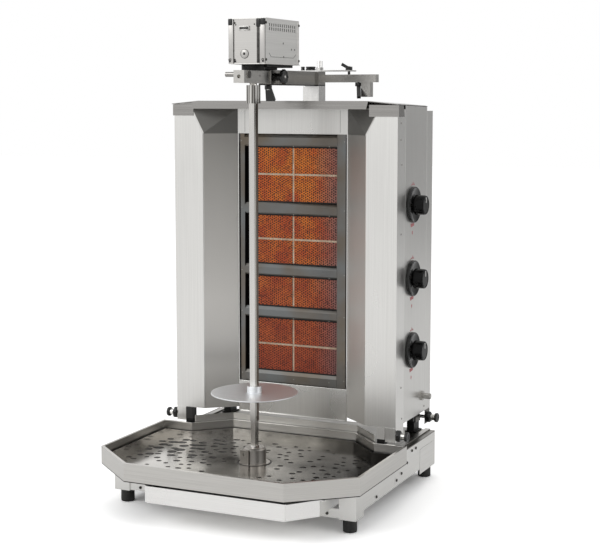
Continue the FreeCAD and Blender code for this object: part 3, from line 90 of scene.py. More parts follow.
floor_shape = bmesh.new()
bmesh.ops.create_grid(floor_shape, x_segments=1, y_segments=1, size=14.0)
floor_mesh = bpy.data.meshes.new("floor")
floor_shape.to_mesh(floor_mesh)
floor_shape.free()
floor = bpy.data.objects.new("floor", floor_mesh)
bpy.context.scene.collection.objects.link(floor)
floor_finish = bpy.data.materials.new("white_sweep")
floor_finish.use_nodes = True
sweep = floor_finish.node_tree
sweep.nodes.remove(sweep.nodes["Principled BSDF"])
sweep_cloth = sweep.nodes.new("ShaderNodeBsdfDiffuse")
sweep_tone = sweep.nodes.new("ShaderNodeMapRange")
sweep_tone.inputs["To Min"].default_value = 0.82
sweep_tone.inputs["To Max"].default_value = 1.14
sweep.links.new(white_to_lens(sweep), sweep_tone.inputs["Value"])
sweep_lens = sweep.nodes.new("ShaderNodeMath")
sweep_lens.operation = "MULTIPLY_ADD"
sweep_lens.inputs[1].default_value = 0.62
sweep.links.new(sweep.nodes.new("ShaderNodeLightPath").outputs["Is Camera Ray"], sweep_lens.inputs[0])
sweep.links.new(sweep_tone.outputs["Result"], sweep_lens.inputs[2])
sweep.links.new(sweep_lens.outputs[0], sweep_cloth.inputs["Color"])
sweep.links.new(sweep_cloth.outputs[0], sweep.nodes["Material Output"].inputs["Surface"])
floor_mesh.materials.append(floor_finish)


# Studio lamps: a large soft box above and to the left of the lens, a weaker one on the right,
# and grey boards out of the picture that give the side sheets their darker reflections.
def soft_box(name, place, aim, size, watts):
    """A rectangular lamp that faces its aim."""
    lamp_data = bpy.data.lights.new(name, "AREA")
    lamp_data.shape = "RECTANGLE"
    lamp_data.size = size[0]
    lamp_data.size_y = size[1]
    lamp_data.energy = watts
    lamp = bpy.data.objects.new(name, lamp_data)
    lamp.location = place
    lamp.rotation_euler = (Vector(aim) - Vector(place)).to_track_quat("-Z", "Y").to_euler()
    bpy.context.scene.collection.objects.link(lamp)


soft_box("key_box", (-2.2, -3.2, 3.0), (0.0, 0.0, 0.5), (2.4, 2.0), 50.0)
soft_box("fill_box", (3.4, -0.6, 2.6), (0.0, 0.0, 0.5), (1.4, 1.6), 14.0)


def grey_board(name, middle, across, up, tone):
    """A board that only the polished sheets see, given by its middle and its two half sides."""
    board_shape = bmesh.new()
    for a, b in ((-1, -1), (1, -1), (1, 1), (-1, 1)):
        board_shape.verts.new(Vector(middle) + a * Vector(across) + b * Vector(up))
    board_shape.faces.new(board_shape.verts)
    board_mesh = bpy.data.meshes.new(name)
    board_shape.to_mesh(board_mesh)
    board_shape.free()
    board = bpy.data.objects.new(name, board_mesh)
    bpy.context.scene.collection.objects.link(board)
    board_finish = bpy.data.materials.new(name)
    board_finish.use_nodes = True
    tree = board_finish.node_tree
    tree.nodes.remove(tree.nodes["Principled BSDF"])
    glow = tree.nodes.new("ShaderNodeEmission")
    glow.inputs["Color"].default_value = (tone, tone, tone, 1.0)
    tree.links.new(glow.outputs[0], tree.nodes["Material Output"].inputs["Surface"])
    board_mesh.materials.append(board_finish)
    board.visible_camera = False
    board.visible_diffuse = False
    board.visible_shadow = False


grey_board("board_behind_right", (2.4, 4.2, 1.0), (1.5, -0.7, 0.0), (0.0, 0.0, 1.6), 0.36)
grey_board("board_front_right", (2.9, -2.15, 1.0), (0.75, 1.0, 0.0), (0.0, 0.0, 1.9), 0.22)


# Rubber feet: four turned black rubber buffers, screwed up into the foot pads of the legs.
# The rubber is matt, faintly mottled and a little grey on its worn lower edge.
def shade(red, green, blue):
    """A colour as it is read off the photo, turned into the light value that a shader takes."""
    linear = []
    for value in (red, green, blue):
        share = value / 255.0
        linear.append(share / 12.92 if share <= 0.04045 else ((share + 0.055) / 1.055) ** 2.4)
    return (*linear, 1.0)


def new_finish(name, colour, metal, rough):
    finish = bpy.data.materials.new(name)
    finish.use_nodes = True
    shader = finish.node_tree.nodes["Principled BSDF"]
    shader.inputs["Base Color"].default_value = colour
    shader.inputs["Metallic"].default_value = metal
    shader.inputs["Roughness"].default_value = rough
    return finish, finish.node_tree, shader


def stretched(tree, scale=(1.0, 1.0, 1.0)):
    """The place on the object, stretched so that a pattern follows the rolling of a sheet."""
    place = tree.nodes.new("ShaderNodeTexCoord")
    mapping = tree.nodes.new("ShaderNodeMapping")
    mapping.inputs["Scale"].default_value = scale
    tree.links.new(place.outputs["Object"], mapping.inputs["Vector"])
    return mapping.outputs["Vector"]


def cloud(tree, place, scale, detail=3.0):
    """Soft noise; at a scale of 1 its size comes from how the place is stretched."""
    noise = tree.nodes.new("ShaderNodeTexNoise")
    noise.inputs["Scale"].default_value = scale
    noise.inputs["Detail"].default_value = detail
    tree.links.new(place, noise.inputs["Vector"])
    return noise.outputs["Fac"]


def spread(tree, value, low=0.3, high=0.7, out_low=0.0, out_high=1.0):
    """A value between low and high, moved to another range; noise keeps to about 0.3 and 0.7."""
    change = tree.nodes.new("ShaderNodeMapRange")
    change.inputs["From Min"].default_value = low
    change.inputs["From Max"].default_value = high
    change.inputs["To Min"].default_value = out_low
    change.inputs["To Max"].default_value = out_high
    tree.links.new(value, change.inputs["Value"])
    return change.outputs["Result"]


def between(tree, value, dark, light):
    """A colour that runs from dark to light with a pattern value; dark may itself be a pattern."""
    blend = tree.nodes.new("ShaderNodeMix")
    blend.data_type = "RGBA"
    tree.links.new(value, blend.inputs["Factor"])
    for tone, socket in ((dark, blend.inputs["A"]), (light, blend.inputs["B"])):
        if isinstance(tone, tuple):
            socket.default_value = tone
        else:
            tree.links.new(tone, socket)
    return blend.outputs["Result"]


def two_tone(tree, shader, value, dark, light):
    tree.links.new(between(tree, value, dark, light), shader.inputs["Base Color"])


def relief(tree, shader, height, strength, distance):
    """Makes a pattern stand out of the surface by this distance in metres."""
    bump = tree.nodes.new("ShaderNodeBump")
    bump.inputs["Strength"].default_value = strength
    bump.inputs["Distance"].default_value = distance
    tree.links.new(height, bump.inputs["Height"])
    tree.links.new(bump.outputs["Normal"], shader.inputs["Normal"])


def mottled(name, plain, dark, light, scale, rough, metal=0.0, detail=3.0, low=0.3, high=0.7):
    """A plain finish that wanders between two tones, with its noise left open for relief or sheen."""
    finish, tree, shader = new_finish(name, shade(*plain), metal, rough)
    noise = cloud(tree, stretched(tree), scale, detail)
    two_tone(tree, shader, spread(tree, noise, low, high), shade(*dark), shade(*light))
    return finish, tree, shader, noise


def dress(finish, *names):
    """The finish goes on every slot of these solids."""
    for name in names:
        for slot in nodes[name].material_slots:
            slot.material = finish


def piece(name, shape, finish, body, sharp=32.0):
    """A finished piece out of the shape in work, carried by a body."""
    bmesh.ops.recalc_face_normals(shape, faces=shape.faces)
    mesh = bpy.data.meshes.new(name)
    shape.to_mesh(mesh)
    shape.free()
    mesh.materials.append(finish)
    mesh.shade_smooth()
    mesh.set_sharp_from_angle(angle=math.radians(sharp))
    made = bpy.data.objects.new(name, mesh)
    bpy.context.scene.collection.objects.link(made)
    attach(made, body)
    return made


upward = (0, 0, 1)
frontward = (0, -1, 0)
rightward = (1, 0, 0)


def turned(shape, outline, middle, along, steps=48, form=None):
    """Spins an outline of (radius, height) in millimetres about a line; a form bends its rings."""
    axis = Vector(along).normalized()
    across = Vector((0.0, 0.0, 1.0)) if abs(axis.z) < 0.5 else Vector((1.0, 0.0, 0.0))
    side = axis.cross(across)
    before = set(shape.verts)
    ring = [shape.verts.new(Vector(middle) + across * r * 0.001 + axis * h * 0.001) for r, h in outline]
    edges = [shape.edges.new(pair) for pair in zip(ring, ring[1:])]
    bmesh.ops.spin(shape, geom=ring + edges, cent=middle, axis=axis, angle=2 * math.pi, steps=steps,
                   use_merge=True)
    made = [v for v in shape.verts if v not in before]
    bmesh.ops.remove_doubles(shape, verts=made, dist=1e-6)
    if form is None:
        return
    for vert in [v for v in shape.verts if v not in before]:
        arm = vert.co - Vector(middle)
        height = arm.dot(axis)
        out = arm - axis * height
        if out.length < 1e-6:
            continue
        angle = math.atan2(out.dot(side), out.dot(across))
        vert.co = Vector(middle) + axis * height + out * form(out.length * 1000, angle)


def solids_of(name):
    """Lowest and highest corners of each separate solid of a node, in the order of x, y and z."""
    work = bmesh.new()
    work.from_mesh(nodes[name].data)
    bmesh.ops.remove_doubles(work, verts=work.verts, dist=1e-6)
    left = set(work.verts)
    found = []
    while left:
        stack = [left.pop()]
        group = []
        while stack:
            vert = stack.pop()
            group.append(vert.co.copy())
            for edge in vert.link_edges:
                other = edge.other_vert(vert)
                if other in left:
                    left.remove(other)
                    stack.append(other)
        low = Vector([min(co[i] for co in group) for i in range(3)])
        high = Vector([max(co[i] for co in group) for i in range(3)])
        found.append((low, high))
    work.free()
    return sorted(found, key=lambda pair: tuple(round(value, 5) for value in pair[0]))


rubber, tree, shader, mottle = mottled("black_rubber", (34, 34, 33), (22, 22, 21), (40, 39, 38), 160.0, 0.55,
                                       low=0.35)
relief(tree, shader, mottle, 0.25, 0.0004)


def underside(low, high):
    """The middle of the lowest face of a solid's box, where a turned piece starts."""
    return (low.x + high.x) / 2, (low.y + high.y) / 2, low.z


feet = bmesh.new()
foot_outline = [(0, 0), (12.9, 0), (14.4, 0.7), (15.0, 2.0), (15.0, 20.4), (14.4, 21.0), (14.4, 21.9),
                (15.0, 22.6), (15.0, 26.6), (14.5, 27.6), (13.6, 28.0), (0, 28.0)]
for low, high in solids_of("rubber_feet"):
    turned(feet, foot_outline, underside(low, high), upward, 40)
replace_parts(piece("turned_feet", feet, rubber, "base"), "rubber_feet")


# Legs, aprons, front rail, rear panel and drawer runners: folded 1.5 and 2 mm stainless
# sheet with a fine ground grain along each sheet, welded and screwed together.
def steel_finish(name, tone, along, rough, streak=1.0):
    """Ground stainless sheet: fine lines along one axis and broad soft cloudiness in the polish."""
    light = shade(*tone)
    dark = shade(*[max(value - 9 * streak, 0) for value in tone])
    finish, tree, shader = new_finish(name, light, 1.0, rough)
    fine = {"x": (6.0, 900.0, 900.0), "y": (900.0, 6.0, 900.0), "z": (900.0, 900.0, 6.0)}[along]
    lines = cloud(tree, stretched(tree, fine), 1.0, 2.0)
    wipes = cloud(tree, stretched(tree, (6.0, 6.0, 4.0)), 1.0, 3.0)
    two_tone(tree, shader, spread(tree, lines), dark, light)
    tree.links.new(spread(tree, wipes, 0.3, 0.7, rough - 0.03, rough + 0.05), shader.inputs["Roughness"])
    relief(tree, shader, lines, 0.035 * streak, 0.0001)
    return finish


def soften(width, *names):
    """Sheet and bar edges are never knife sharp: a small rounding in millimetres on these solids."""
    for name in names:
        weld = nodes[name].modifiers.new("weld", "WELD")
        weld.merge_threshold = 0.00001
        edge = nodes[name].modifiers.new("edge", "BEVEL")
        edge.width = width * 0.001
        edge.segments = 2
        edge.limit_method = "ANGLE"
        edge.angle_limit = math.radians(40.0)
        edge.use_clamp_overlap = True


apron_steel = steel_finish("apron_steel", (222, 221, 218), "y", 0.34)
dress(apron_steel, "base_legs", "drawer_runners", "base_rails")
soften(0.5, "base_legs", "base_rails")


# Screws of the base: black socket heads on the aprons and the front rail, and the studs and
# nuts that hold the feet inside the legs.
def hex_form(key):
    """Bends the rings at the key's radius into a hexagon, so that a head gets its key hole."""
    def form(radius, angle):
        if abs(radius - key) > 0.01:
            return 1.0
        turn = angle % (math.pi / 3) - math.pi / 6
        return math.cos(math.pi / 6) / math.cos(turn)
    return form


def socket_screw(shape, seat, out, radius, height):
    """A cap head with a rounded shoulder and a hexagonal key hole, in millimetres from its seat."""
    key = radius * 0.55
    outline = [(radius, 0), (radius, height * 0.72), (radius * 0.93, height * 0.92), (radius * 0.84, height),
               (radius * 0.66, height), (key, height), (key, height * 0.3), (0, height * 0.22)]
    turned(shape, outline, seat, out, 24, hex_form(key))


def head_seat(low, high, body_middle):
    """Seat, outward direction, radius and height in millimetres of a screw head, from its solid's box."""
    size = high - low
    thin = min(range(3), key=lambda i: size[i])
    middle = (low + high) / 2
    out = Vector((0.0, 0.0, 0.0))
    out[thin] = 1.0 if middle[thin] > body_middle[thin] else -1.0
    seat = middle - out * size[thin] / 2
    radius = max(size) / 2
    return seat, out, radius * 1000, size[thin] * 1000


blackened, tree, shader, scale_marks = mottled("blackened_steel", (66, 64, 61), (46, 44, 42), (84, 82, 78),
                                               300.0, 0.36, metal=0.8)
relief(tree, shader, scale_marks, 0.15, 0.0002)
bolt_steel = steel_finish("bolt_steel", (176, 174, 170), "z", 0.3)

longest_head = 0.015
middle_line = Vector((0.0, 0.0, 0.0))
base_heads = bmesh.new()
foot_studs = bmesh.new()
for low, high in solids_of("base_bolts"):
    if high.z - low.z > longest_head:
        rise = (high.z - low.z) * 1000
        stud = [(0, 0), (3.6, 0), (4.0, 0.6), (4.0, 16.1), (7.4, 16.1), (7.4, 21.6), (6.8, 22.0), (4.0, 22.0),
                (4.0, rise - 0.6), (3.5, rise), (0, rise)]
        turned(foot_studs, stud, underside(low, high), upward, 24, hex_form(7.4))
    else:
        socket_screw(base_heads, *head_seat(low, high, middle_line))
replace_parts(piece("base_screw_heads", base_heads, blackened, "base"), "base_bolts")
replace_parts(piece("foot_studs", foot_studs, bolt_steel, "base"), "base_bolts")


# Grease tray: an eight-sided welded pan with a flat rolled rim, bright outside. Its floor is
# painted near black, and shows through the holes of the liner.
def coordinate(tree, axis):
    """Where a point of the object is along one axis, in metres."""
    place = tree.nodes.new("ShaderNodeTexCoord")
    apart = tree.nodes.new("ShaderNodeSeparateXYZ")
    tree.links.new(place.outputs["Object"], apart.inputs["Vector"])
    return apart.outputs[axis]


def along_axis(tree, axis, low, high):
    """Nought below one place along an axis of the object and one above another, in millimetres."""
    return spread(tree, coordinate(tree, axis), low * 0.001, high * 0.001)


tray_steel, tree, shader = new_finish("tray_rim_steel", shade(214, 212, 209), 1.0, 0.3)
lines = cloud(tree, stretched(tree, (8.0, 8.0, 900.0)), 1.0, 2.0)
steel_tone = between(tree, spread(tree, lines), shade(188, 186, 182), shade(200, 198, 194))
# Below the rim line the tray is painted near black.
above_floor = along_axis(tree, "Z", 91.0, 91.4)
floor_black = shade(9, 8, 7)
two_tone(tree, shader, above_floor, floor_black, steel_tone)
relief(tree, shader, lines, 0.03, 0.0001)
dress(tray_steel, "tray_rim")
soften(0.45, "tray_rim")

# Perforated liner: thin punched sheet that lies loose in the tray. It is stained dark and
# reflects softly, as steel does that has been heated and greased. A painted highlight makes it paler
# along its left side, and painted shade makes it darker towards the right.
liner_steel, tree, shader = new_finish("liner_steel", shade(120, 114, 104), 1.0, 0.3)
stain = cloud(tree, stretched(tree), 11.0, 5.0)
worn = between(tree, spread(tree, stain, 0.35, 0.65), shade(130, 127, 121), shade(180, 177, 171))
# Painted shade: the liner darkens towards the right.
shade_to_right = along_axis(tree, "X", 60.0, 240.0)
shaded = between(tree, shade_to_right, worn, shade(56, 54, 51))
# Painted highlight: the liner is paler along its left side.
highlight_from_left = along_axis(tree, "X", -215.0, -60.0)
two_tone(tree, shader, highlight_from_left, shade(214, 211, 206), shaded)
tree.links.new(spread(tree, stain, 0.3, 0.7, 0.14, 0.26), shader.inputs["Roughness"])
dress(liner_steel, "perforated_tray")

# Rear deck and its splash strip: stainless sheet painted dark and mottled as the shade under the
# tower, with a brighter upright strip.
deck_steel, tree, shader = new_finish("deck_steel", shade(126, 123, 116), 1.0, 0.32)
# Painted shade: the flat deck under the tower is dark and mottled.
deck_shade_mottle = cloud(tree, stretched(tree), 18.0, 4.0)
low_tone = between(tree, spread(tree, deck_shade_mottle), shade(94, 91, 85), shade(132, 129, 123))
up_the_strip = along_axis(tree, "Z", 109.5, 113.0)
two_tone(tree, shader, up_the_strip, low_tone, shade(216, 214, 210))
dress(deck_steel, "rear_deck")
soften(0.4, "rear_deck")

# Grease drawer with its folded front panel: thin stainless sheet on two runners.
drawer_steel = steel_finish("drawer_steel", (238, 237, 235), "x", 0.3)
dress(drawer_steel, "grease_drawer", "drawer_front")
soften(0.4, "drawer_front")

# Foot bearing of the spit: a turned cup with a chamfered mouth and a clip lug, dulled by fat.
cup_steel = steel_finish("cup_steel", (168, 164, 159), "x", 0.3)
dress(cup_steel, "spit_foot")
soften(0.6, "spit_foot")

# Slide posts, blocks and the motor base: black painted steel with a light orange peel. The front
# right block of the four is bare and pale.
black_paint, tree, shader, peel = mottled("black_paint", (38, 38, 37), (22, 22, 21), (38, 38, 37), 420.0, 0.4,
                                          detail=2.0)
shader.inputs["Specular IOR Level"].default_value = 0.15
relief(tree, shader, peel, 0.2, 0.0003)
dress(black_paint, "slide_posts", "motor_base")
block_paint, tree, shader = new_finish("block_paint", shade(38, 38, 37), 0.0, 0.4)
peel = cloud(tree, stretched(tree), 700.0)
towards_rear = along_axis(tree, "Y", 150.0, 152.0)
right_blocks = between(tree, towards_rear, shade(186, 184, 180), shade(38, 38, 37))
on_right = along_axis(tree, "X", 0.0, 2.0)
two_tone(tree, shader, on_right, shade(38, 38, 37), right_blocks)
relief(tree, shader, peel, 0.1, 0.0002)
dress(block_paint, "slide_blocks")
soften(0.6, "slide_posts", "slide_blocks", "motor_base")

# Star knobs that clamp the tower: a moulded black star on a bright turned sleeve, with a
# dished black cap on the outside and a threaded stud into the slide block.
black_plastic, tree, shader, spark = mottled("black_plastic", (24, 24, 24), (17, 17, 17), (33, 33, 32), 700.0,
                                             0.32, detail=2.0)
relief(tree, shader, spark, 0.2, 0.0002)
sleeve_steel = steel_finish("sleeve_steel", (216, 215, 212), "x", 0.22)


def lobes(count, depth, inner):
    """Rings outside the inner radius get this many lobes, each ring shrunk between them."""
    def form(radius, angle):
        if radius < inner:
            return 1.0
        return 1.0 - depth * (0.5 + 0.5 * math.cos(count * angle + math.pi))
    return form


right_block_face = 0.2742
left_block_face = -0.2770
star_outline = [(0, 0), (11.0, 0), (12.4, 0.6), (13.0, 1.8), (13.0, 8.2), (12.4, 9.4), (11.0, 10.0),
                (0, 10.0)]
neck_outline = [(0, 9.6), (6.4, 9.6), (7.0, 10.2), (7.0, 19.8), (6.4, 20.4), (0, 20.4)]
dish_outline = [(0, 20.0), (8.6, 20.0), (10.2, 20.5), (10.8, 21.6), (10.8, 25.4), (10.2, 26.6), (9.2, 27.0),
                (7.6, 26.9), (5.0, 25.6), (0, 25.2)]
for corner in ("front_right", "rear_right", "front_left", "rear_left"):
    body = "star_knob_" + corner
    low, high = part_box(body)
    out = 1.0 if high[0] > 0 else -1.0
    block_face = right_block_face if out > 0 else left_block_face
    seat = (block_face, (low[1] + high[1]) / 2, (low[2] + high[2]) / 2)
    outward = (out, 0, 0)
    star = bmesh.new()
    turned(star, star_outline, seat, outward, 60, lobes(5, 0.2, 10.0))
    turned(star, dish_outline, seat, outward, 40)
    grip = piece(body + "_grip", star, black_plastic, body)
    sleeve = bmesh.new()
    turned(sleeve, neck_outline, seat, outward, 32)
    reach = (out * seat[0] - (low[0] if out > 0 else -high[0])) * 1000
    stud = [(0, -reach), (3.4, -reach), (4.0, 0.6 - reach), (4.0, 0.2), (0, 0.2)]
    turned(sleeve, stud, seat, outward, 24)
    shank = piece(body + "_sleeve", sleeve, sleeve_steel, body)
    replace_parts(grip, body)
    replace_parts(shank, body)


# Tower shell: folded stainless sheet with an upright grain. The wings are painted with shade that
# darkens towards the top, the splayed corners over them are painted darker still, and both are
# given a rougher polish than the fronts.
def joined(tree, kind, first, second):
    """Two values put together by a math step; either may be a plain number."""
    both = tree.nodes.new("ShaderNodeMath")
    both.operation = kind
    for value, socket in ((first, both.inputs[0]), (second, both.inputs[1])):
        if isinstance(value, float):
            socket.default_value = value
        else:
            tree.links.new(value, socket)
    return both.outputs[0]


def across_axis(tree, axis):
    """The distance of a point from the middle of the object along one axis, in metres."""
    return joined(tree, "ABSOLUTE", coordinate(tree, axis), 0.0)


column_steel, tree, shader = new_finish("column_steel", shade(222, 221, 218), 1.0, 0.31)
lines = cloud(tree, stretched(tree, (900.0, 900.0, 6.0)), 1.0, 2.0)
wipes = cloud(tree, stretched(tree, (6.0, 6.0, 3.0)), 1.0, 3.0)
front_tone = between(tree, spread(tree, lines), shade(214, 213, 210), shade(222, 221, 218))
# Painted shade: the wings darken towards the top, and the splayed corners over them are darker still.
up_the_wing = along_axis(tree, "Z", 420.0, 790.0)
wing_shade_low = between(tree, up_the_wing, shade(214, 212, 208), shade(164, 162, 158))
splayed_corner = along_axis(tree, "Z", 804.0, 806.0)
wing_shade = between(tree, splayed_corner, wing_shade_low, shade(112, 111, 108))
inside = spread(tree, across_axis(tree, "X"), 0.2712, 0.2714, 1.0, 0.0)
behind_front = along_axis(tree, "Y", 79.9, 80.1)
on_wings = joined(tree, "MULTIPLY", behind_front, inside)
two_tone(tree, shader, on_wings, front_tone, wing_shade)
dull = spread(tree, on_wings, 0.0, 1.0, 0.0, 0.12)
polish = joined(tree, "ADD", spread(tree, wipes, 0.3, 0.7, 0.27, 0.36), dull)
tree.links.new(polish, shader.inputs["Roughness"])
relief(tree, shader, lines, 0.03, 0.0001)
dress(column_steel, "columns")
surround_steel = steel_finish("surround_steel", (206, 205, 202), "z", 0.26)
dress(surround_steel, "burner_surround")
bracket_steel = steel_finish("bracket_steel", (222, 221, 218), "z", 0.3)
dress(bracket_steel, "foot_brackets")
panel_steel = steel_finish("panel_steel", (214, 213, 210), "z", 0.34)
dress(panel_steel, "control_panel", "side_cover", "rear_cover")
roof_steel = steel_finish("roof_steel", (164, 162, 159), "x", 0.24, 2.0)
dress(roof_steel, "roof", "end_fascias")
floor_steel = steel_finish("tower_floor_steel", (104, 102, 98), "x", 0.4)
dress(floor_steel, "tower_floor", "gear_motor")
soften(0.5, "columns", "burner_surround", "control_panel", "side_cover", "rear_cover", "roof", "end_fascias",
       "foot_brackets")


# Rivets of the tower and the two black cap knobs on the top plate: domed steel heads that have
# weathered darker than the sheet, and turned black knobs with a ground top edge.
def dome(shape, seat, out, radius, height):
    """A low round rivet head."""
    turned(shape, [(0, 0), (radius, 0), (radius * 0.97, height * 0.35), (radius * 0.8, height * 0.72),
                   (radius * 0.45, height * 0.95), (0, height)], seat, out, 20)


rivet_steel = steel_finish("rivet_steel", (150, 148, 144), "z", 0.34)
top_plate_z = 0.94
rivets = bmesh.new()
caps = bmesh.new()
for low, high in solids_of("tower_screws"):
    if high.z > top_plate_z:
        radius = (high.x - low.x) * 500
        rise = (high.z - low.z) * 1000
        waist = radius * 0.9
        turned(caps, [(0, 0), (radius * 0.94, 0), (radius, 0.7), (radius, rise * 0.4), (waist, rise * 0.5),
                      (waist, rise * 0.6), (radius, rise * 0.7), (radius, rise - 0.9), (radius * 0.92, rise),
                      (0, rise)], underside(low, high), upward, 32)
    else:
        dome(rivets, *head_seat(low, high, middle_line))
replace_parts(piece("tower_rivets", rivets, rivet_steel, "tower"), "tower_screws")
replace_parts(piece("cap_knobs", caps, black_plastic, "tower"), "tower_screws")

# Surround seams: the strips beside the top of the surround are welded on, which leaves a dark
# line at each edge. Small rivets hold the window flange on both sides, and the bars across it.
seam_and_shade_dark = mottled("seam_and_shade_dark", (52, 51, 49), (36, 35, 33), (78, 76, 73), 200.0, 0.6)[0]


def block(shape, low, high, edge=0.0, segments=2):
    """A bar or plate between two corners in millimetres, with softened edges."""
    made = bmesh.ops.create_cube(shape, size=1.0)["verts"]
    for vert in made:
        vert.co = Vector([(low[i] + (high[i] - low[i]) * (vert.co[i] + 0.5)) * 0.001 for i in range(3)])
    if edge:
        edges = list({e for vert in made for e in vert.link_edges})
        bmesh.ops.bevel(shape, geom=edges, offset=edge * 0.001, offset_type="OFFSET", segments=segments,
                        profile=0.5, affect="EDGES", material=-1)


def in_millimetres(name):
    """Lowest and highest corners of a node."""
    return [[value * 1000 for value in corner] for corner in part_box(name)]


def in_metres(x, y, z):
    return x * 0.001, y * 0.001, z * 0.001


frame_low, frame_high = in_millimetres("burner_frame")
surround_front = in_millimetres("burner_surround")[0][1] + 4.0
tower_x = (frame_low[0] + frame_high[0]) / 2
seam_reach = 119.0
seam_half = 0.35
seam_top = 859.0
seams = bmesh.new()
for side in (-1, 1):
    middle = tower_x + side * seam_reach
    block(seams, (middle - seam_half, surround_front - 0.12, frame_high[2] + 4),
          (middle + seam_half, surround_front, seam_top))
piece("surround_seams", seams, seam_and_shade_dark, "tower")
flange_reach = 129.0
flange_rivets = bmesh.new()
for z in (frame_low[2] + 18, 392.0, 488.0, 634.0, frame_high[2] - 16):
    for side in (-1, 1):
        seat = in_metres(tower_x + side * flange_reach, frame_low[1], z)
        dome(flange_rivets, seat, frontward, 1.3, 0.5)
for z in (239.0, 380.5, 479.0, 621.0, 777.0):
    for x in (tower_x - 88.0, tower_x + 3.0, tower_x + 92.0):
        dome(flange_rivets, in_metres(x, frame_low[1], z), frontward, 1.2, 0.4)
piece("frame_rivets", flange_rivets, rivet_steel, "tower")

# Burner frame: a welded grid of flat bars with sloped tops, blued and browned by heating. The
# channel beside the left bar is painted black as the shade in its recess.
frame_steel, tree, shader = new_finish("frame_steel", shade(108, 107, 104), 1.0, 0.28)
lines = cloud(tree, stretched(tree, (6.0, 700.0, 700.0)), 1.0, 2.0)
tint = cloud(tree, stretched(tree, (9.0, 9.0, 9.0)), 1.0, 3.0)
blued = between(tree, spread(tree, tint, 0.38, 0.62), shade(104, 96, 86), shade(110, 112, 112))
# Painted shade: the recessed channel beside the left bar is black.
channel_left = along_axis(tree, "X", -122.6, -122.2)
channel_shade = between(tree, channel_left, shade(120, 118, 115), shade(6, 5, 5))
channel_right = along_axis(tree, "X", -112.6, -112.2)
channel = between(tree, channel_right, channel_shade, blued)
set_back = along_axis(tree, "Y", 136.6, 136.8)
two_tone(tree, shader, set_back, blued, channel)
relief(tree, shader, lines, 0.04, 0.0001)
dress(frame_steel, "burner_frame")
soften(0.5, "burner_frame")

# Painted shadow in each window of the frame: a thin black strip round the tiles, where the bars
# shade them; the burner bodies behind the tiles are painted the same black shade. A dark seam
# shows where each bar is welded to the right upright.
# Painted shadow: black strips round the tiles, and black burner bodies behind them.
shadow_black = mottled("shadow_black", (20, 18, 17), (10, 9, 9), (34, 31, 29), 120.0, 0.85)[0]
dress(shadow_black, "burner_bodies")
window_levels = ((255.0, 381.0), (406.0, 479.0), (505.0, 621.0), (648.0, 776.5))
bar_levels = ((384.0, 404.6), (482.0, 503.6), (624.0, 646.6), (779.5, 803.3), (230.3, 253.6))
shadow_front = frame_high[1] - 1.2
shadow_strips = bmesh.new()
for low, high in window_levels:
    for bottom, top in ((low, low + 2.6), (high - 3.4, high)):
        block(shadow_strips, (-112.0, shadow_front, bottom), (109.4, frame_high[1], top), 0.3)
    block(shadow_strips, (107.4, shadow_front, low), (109.6, frame_high[1], high), 0.3)
piece("window_shadows", shadow_strips, shadow_black, "tower")
bar_seams = bmesh.new()
for low, high in bar_levels:
    block(bar_seams, (109.2, frame_low[1] - 0.15, low), (110.0, frame_low[1] + 0.3, high))
piece("frame_seams", bar_seams, seam_and_shade_dark, "tower")


# Ceramic tiles: pressed cordierite plates, pierced by rows of fine holes and burnt orange by
# the flame, browner low down and grey along the right side.
def wave(tree, place, direction):
    """A row of smooth ridges across the object; three of them crossed make a grid of holes."""
    turn = tree.nodes.new("ShaderNodeVectorMath")
    turn.operation = "DOT_PRODUCT"
    turn.inputs[1].default_value = direction
    tree.links.new(place, turn.inputs[0])
    ripple = tree.nodes.new("ShaderNodeMath")
    ripple.operation = "COSINE"
    tree.links.new(turn.outputs["Value"], ripple.inputs[0])
    return ripple.outputs[0]


tile_clay, tree, shader = new_finish("tile_clay", shade(170, 80, 34), 0.0, 0.75)
place = stretched(tree)
hole_pitch = 0.0057
rate = 4 * math.pi / math.sqrt(3) / hole_pitch
waves = [wave(tree, place, (rate * math.cos(a), 0.0, rate * math.sin(a)))
         for a in (0.0, 2 * math.pi / 3, 4 * math.pi / 3)]
comb = joined(tree, "ADD", joined(tree, "ADD", waves[0], waves[1]), waves[2])
grain = cloud(tree, place, 400.0, 1.0)
rough_comb = joined(tree, "ADD", comb, spread(tree, grain, 0.3, 0.7, -1.5, 1.5))
pits = spread(tree, rough_comb, -0.8, 0.9)
scorch = cloud(tree, place, 26.0, 4.0)
orange = between(tree, spread(tree, scorch, 0.35, 0.65), shade(196, 82, 26), shade(222, 122, 34))
brown = between(tree, spread(tree, scorch, 0.35, 0.65), shade(150, 60, 34), shade(184, 80, 46))
up_the_tiles = along_axis(tree, "Z", 250.0, 680.0)
fired = between(tree, up_the_tiles, brown, orange)
ashen = spread(tree, scorch, 0.3, 0.7, -12.0, 12.0)
strayed = joined(tree, "MULTIPLY_ADD", coordinate(tree, "X"), 1000.0)
tree.links.new(ashen, strayed.node.inputs[2])
burnt = between(tree, spread(tree, strayed, 52.0, 112.0, 0.0, 0.9), fired, shade(136, 100, 100))
# The holes of the tiles are painted near black, as the shade inside them.
two_tone(tree, shader, pits, burnt, shade(22, 8, 4))
relief(tree, shader, pits, -0.5, 0.0006)
# Painted light: a faint glow in the tile colour lifts the shade of the recess.
shader.inputs["Emission Color"].default_value = shade(170, 66, 20)
shader.inputs["Emission Strength"].default_value = 0.015
dress(tile_clay, "ceramic_tiles")

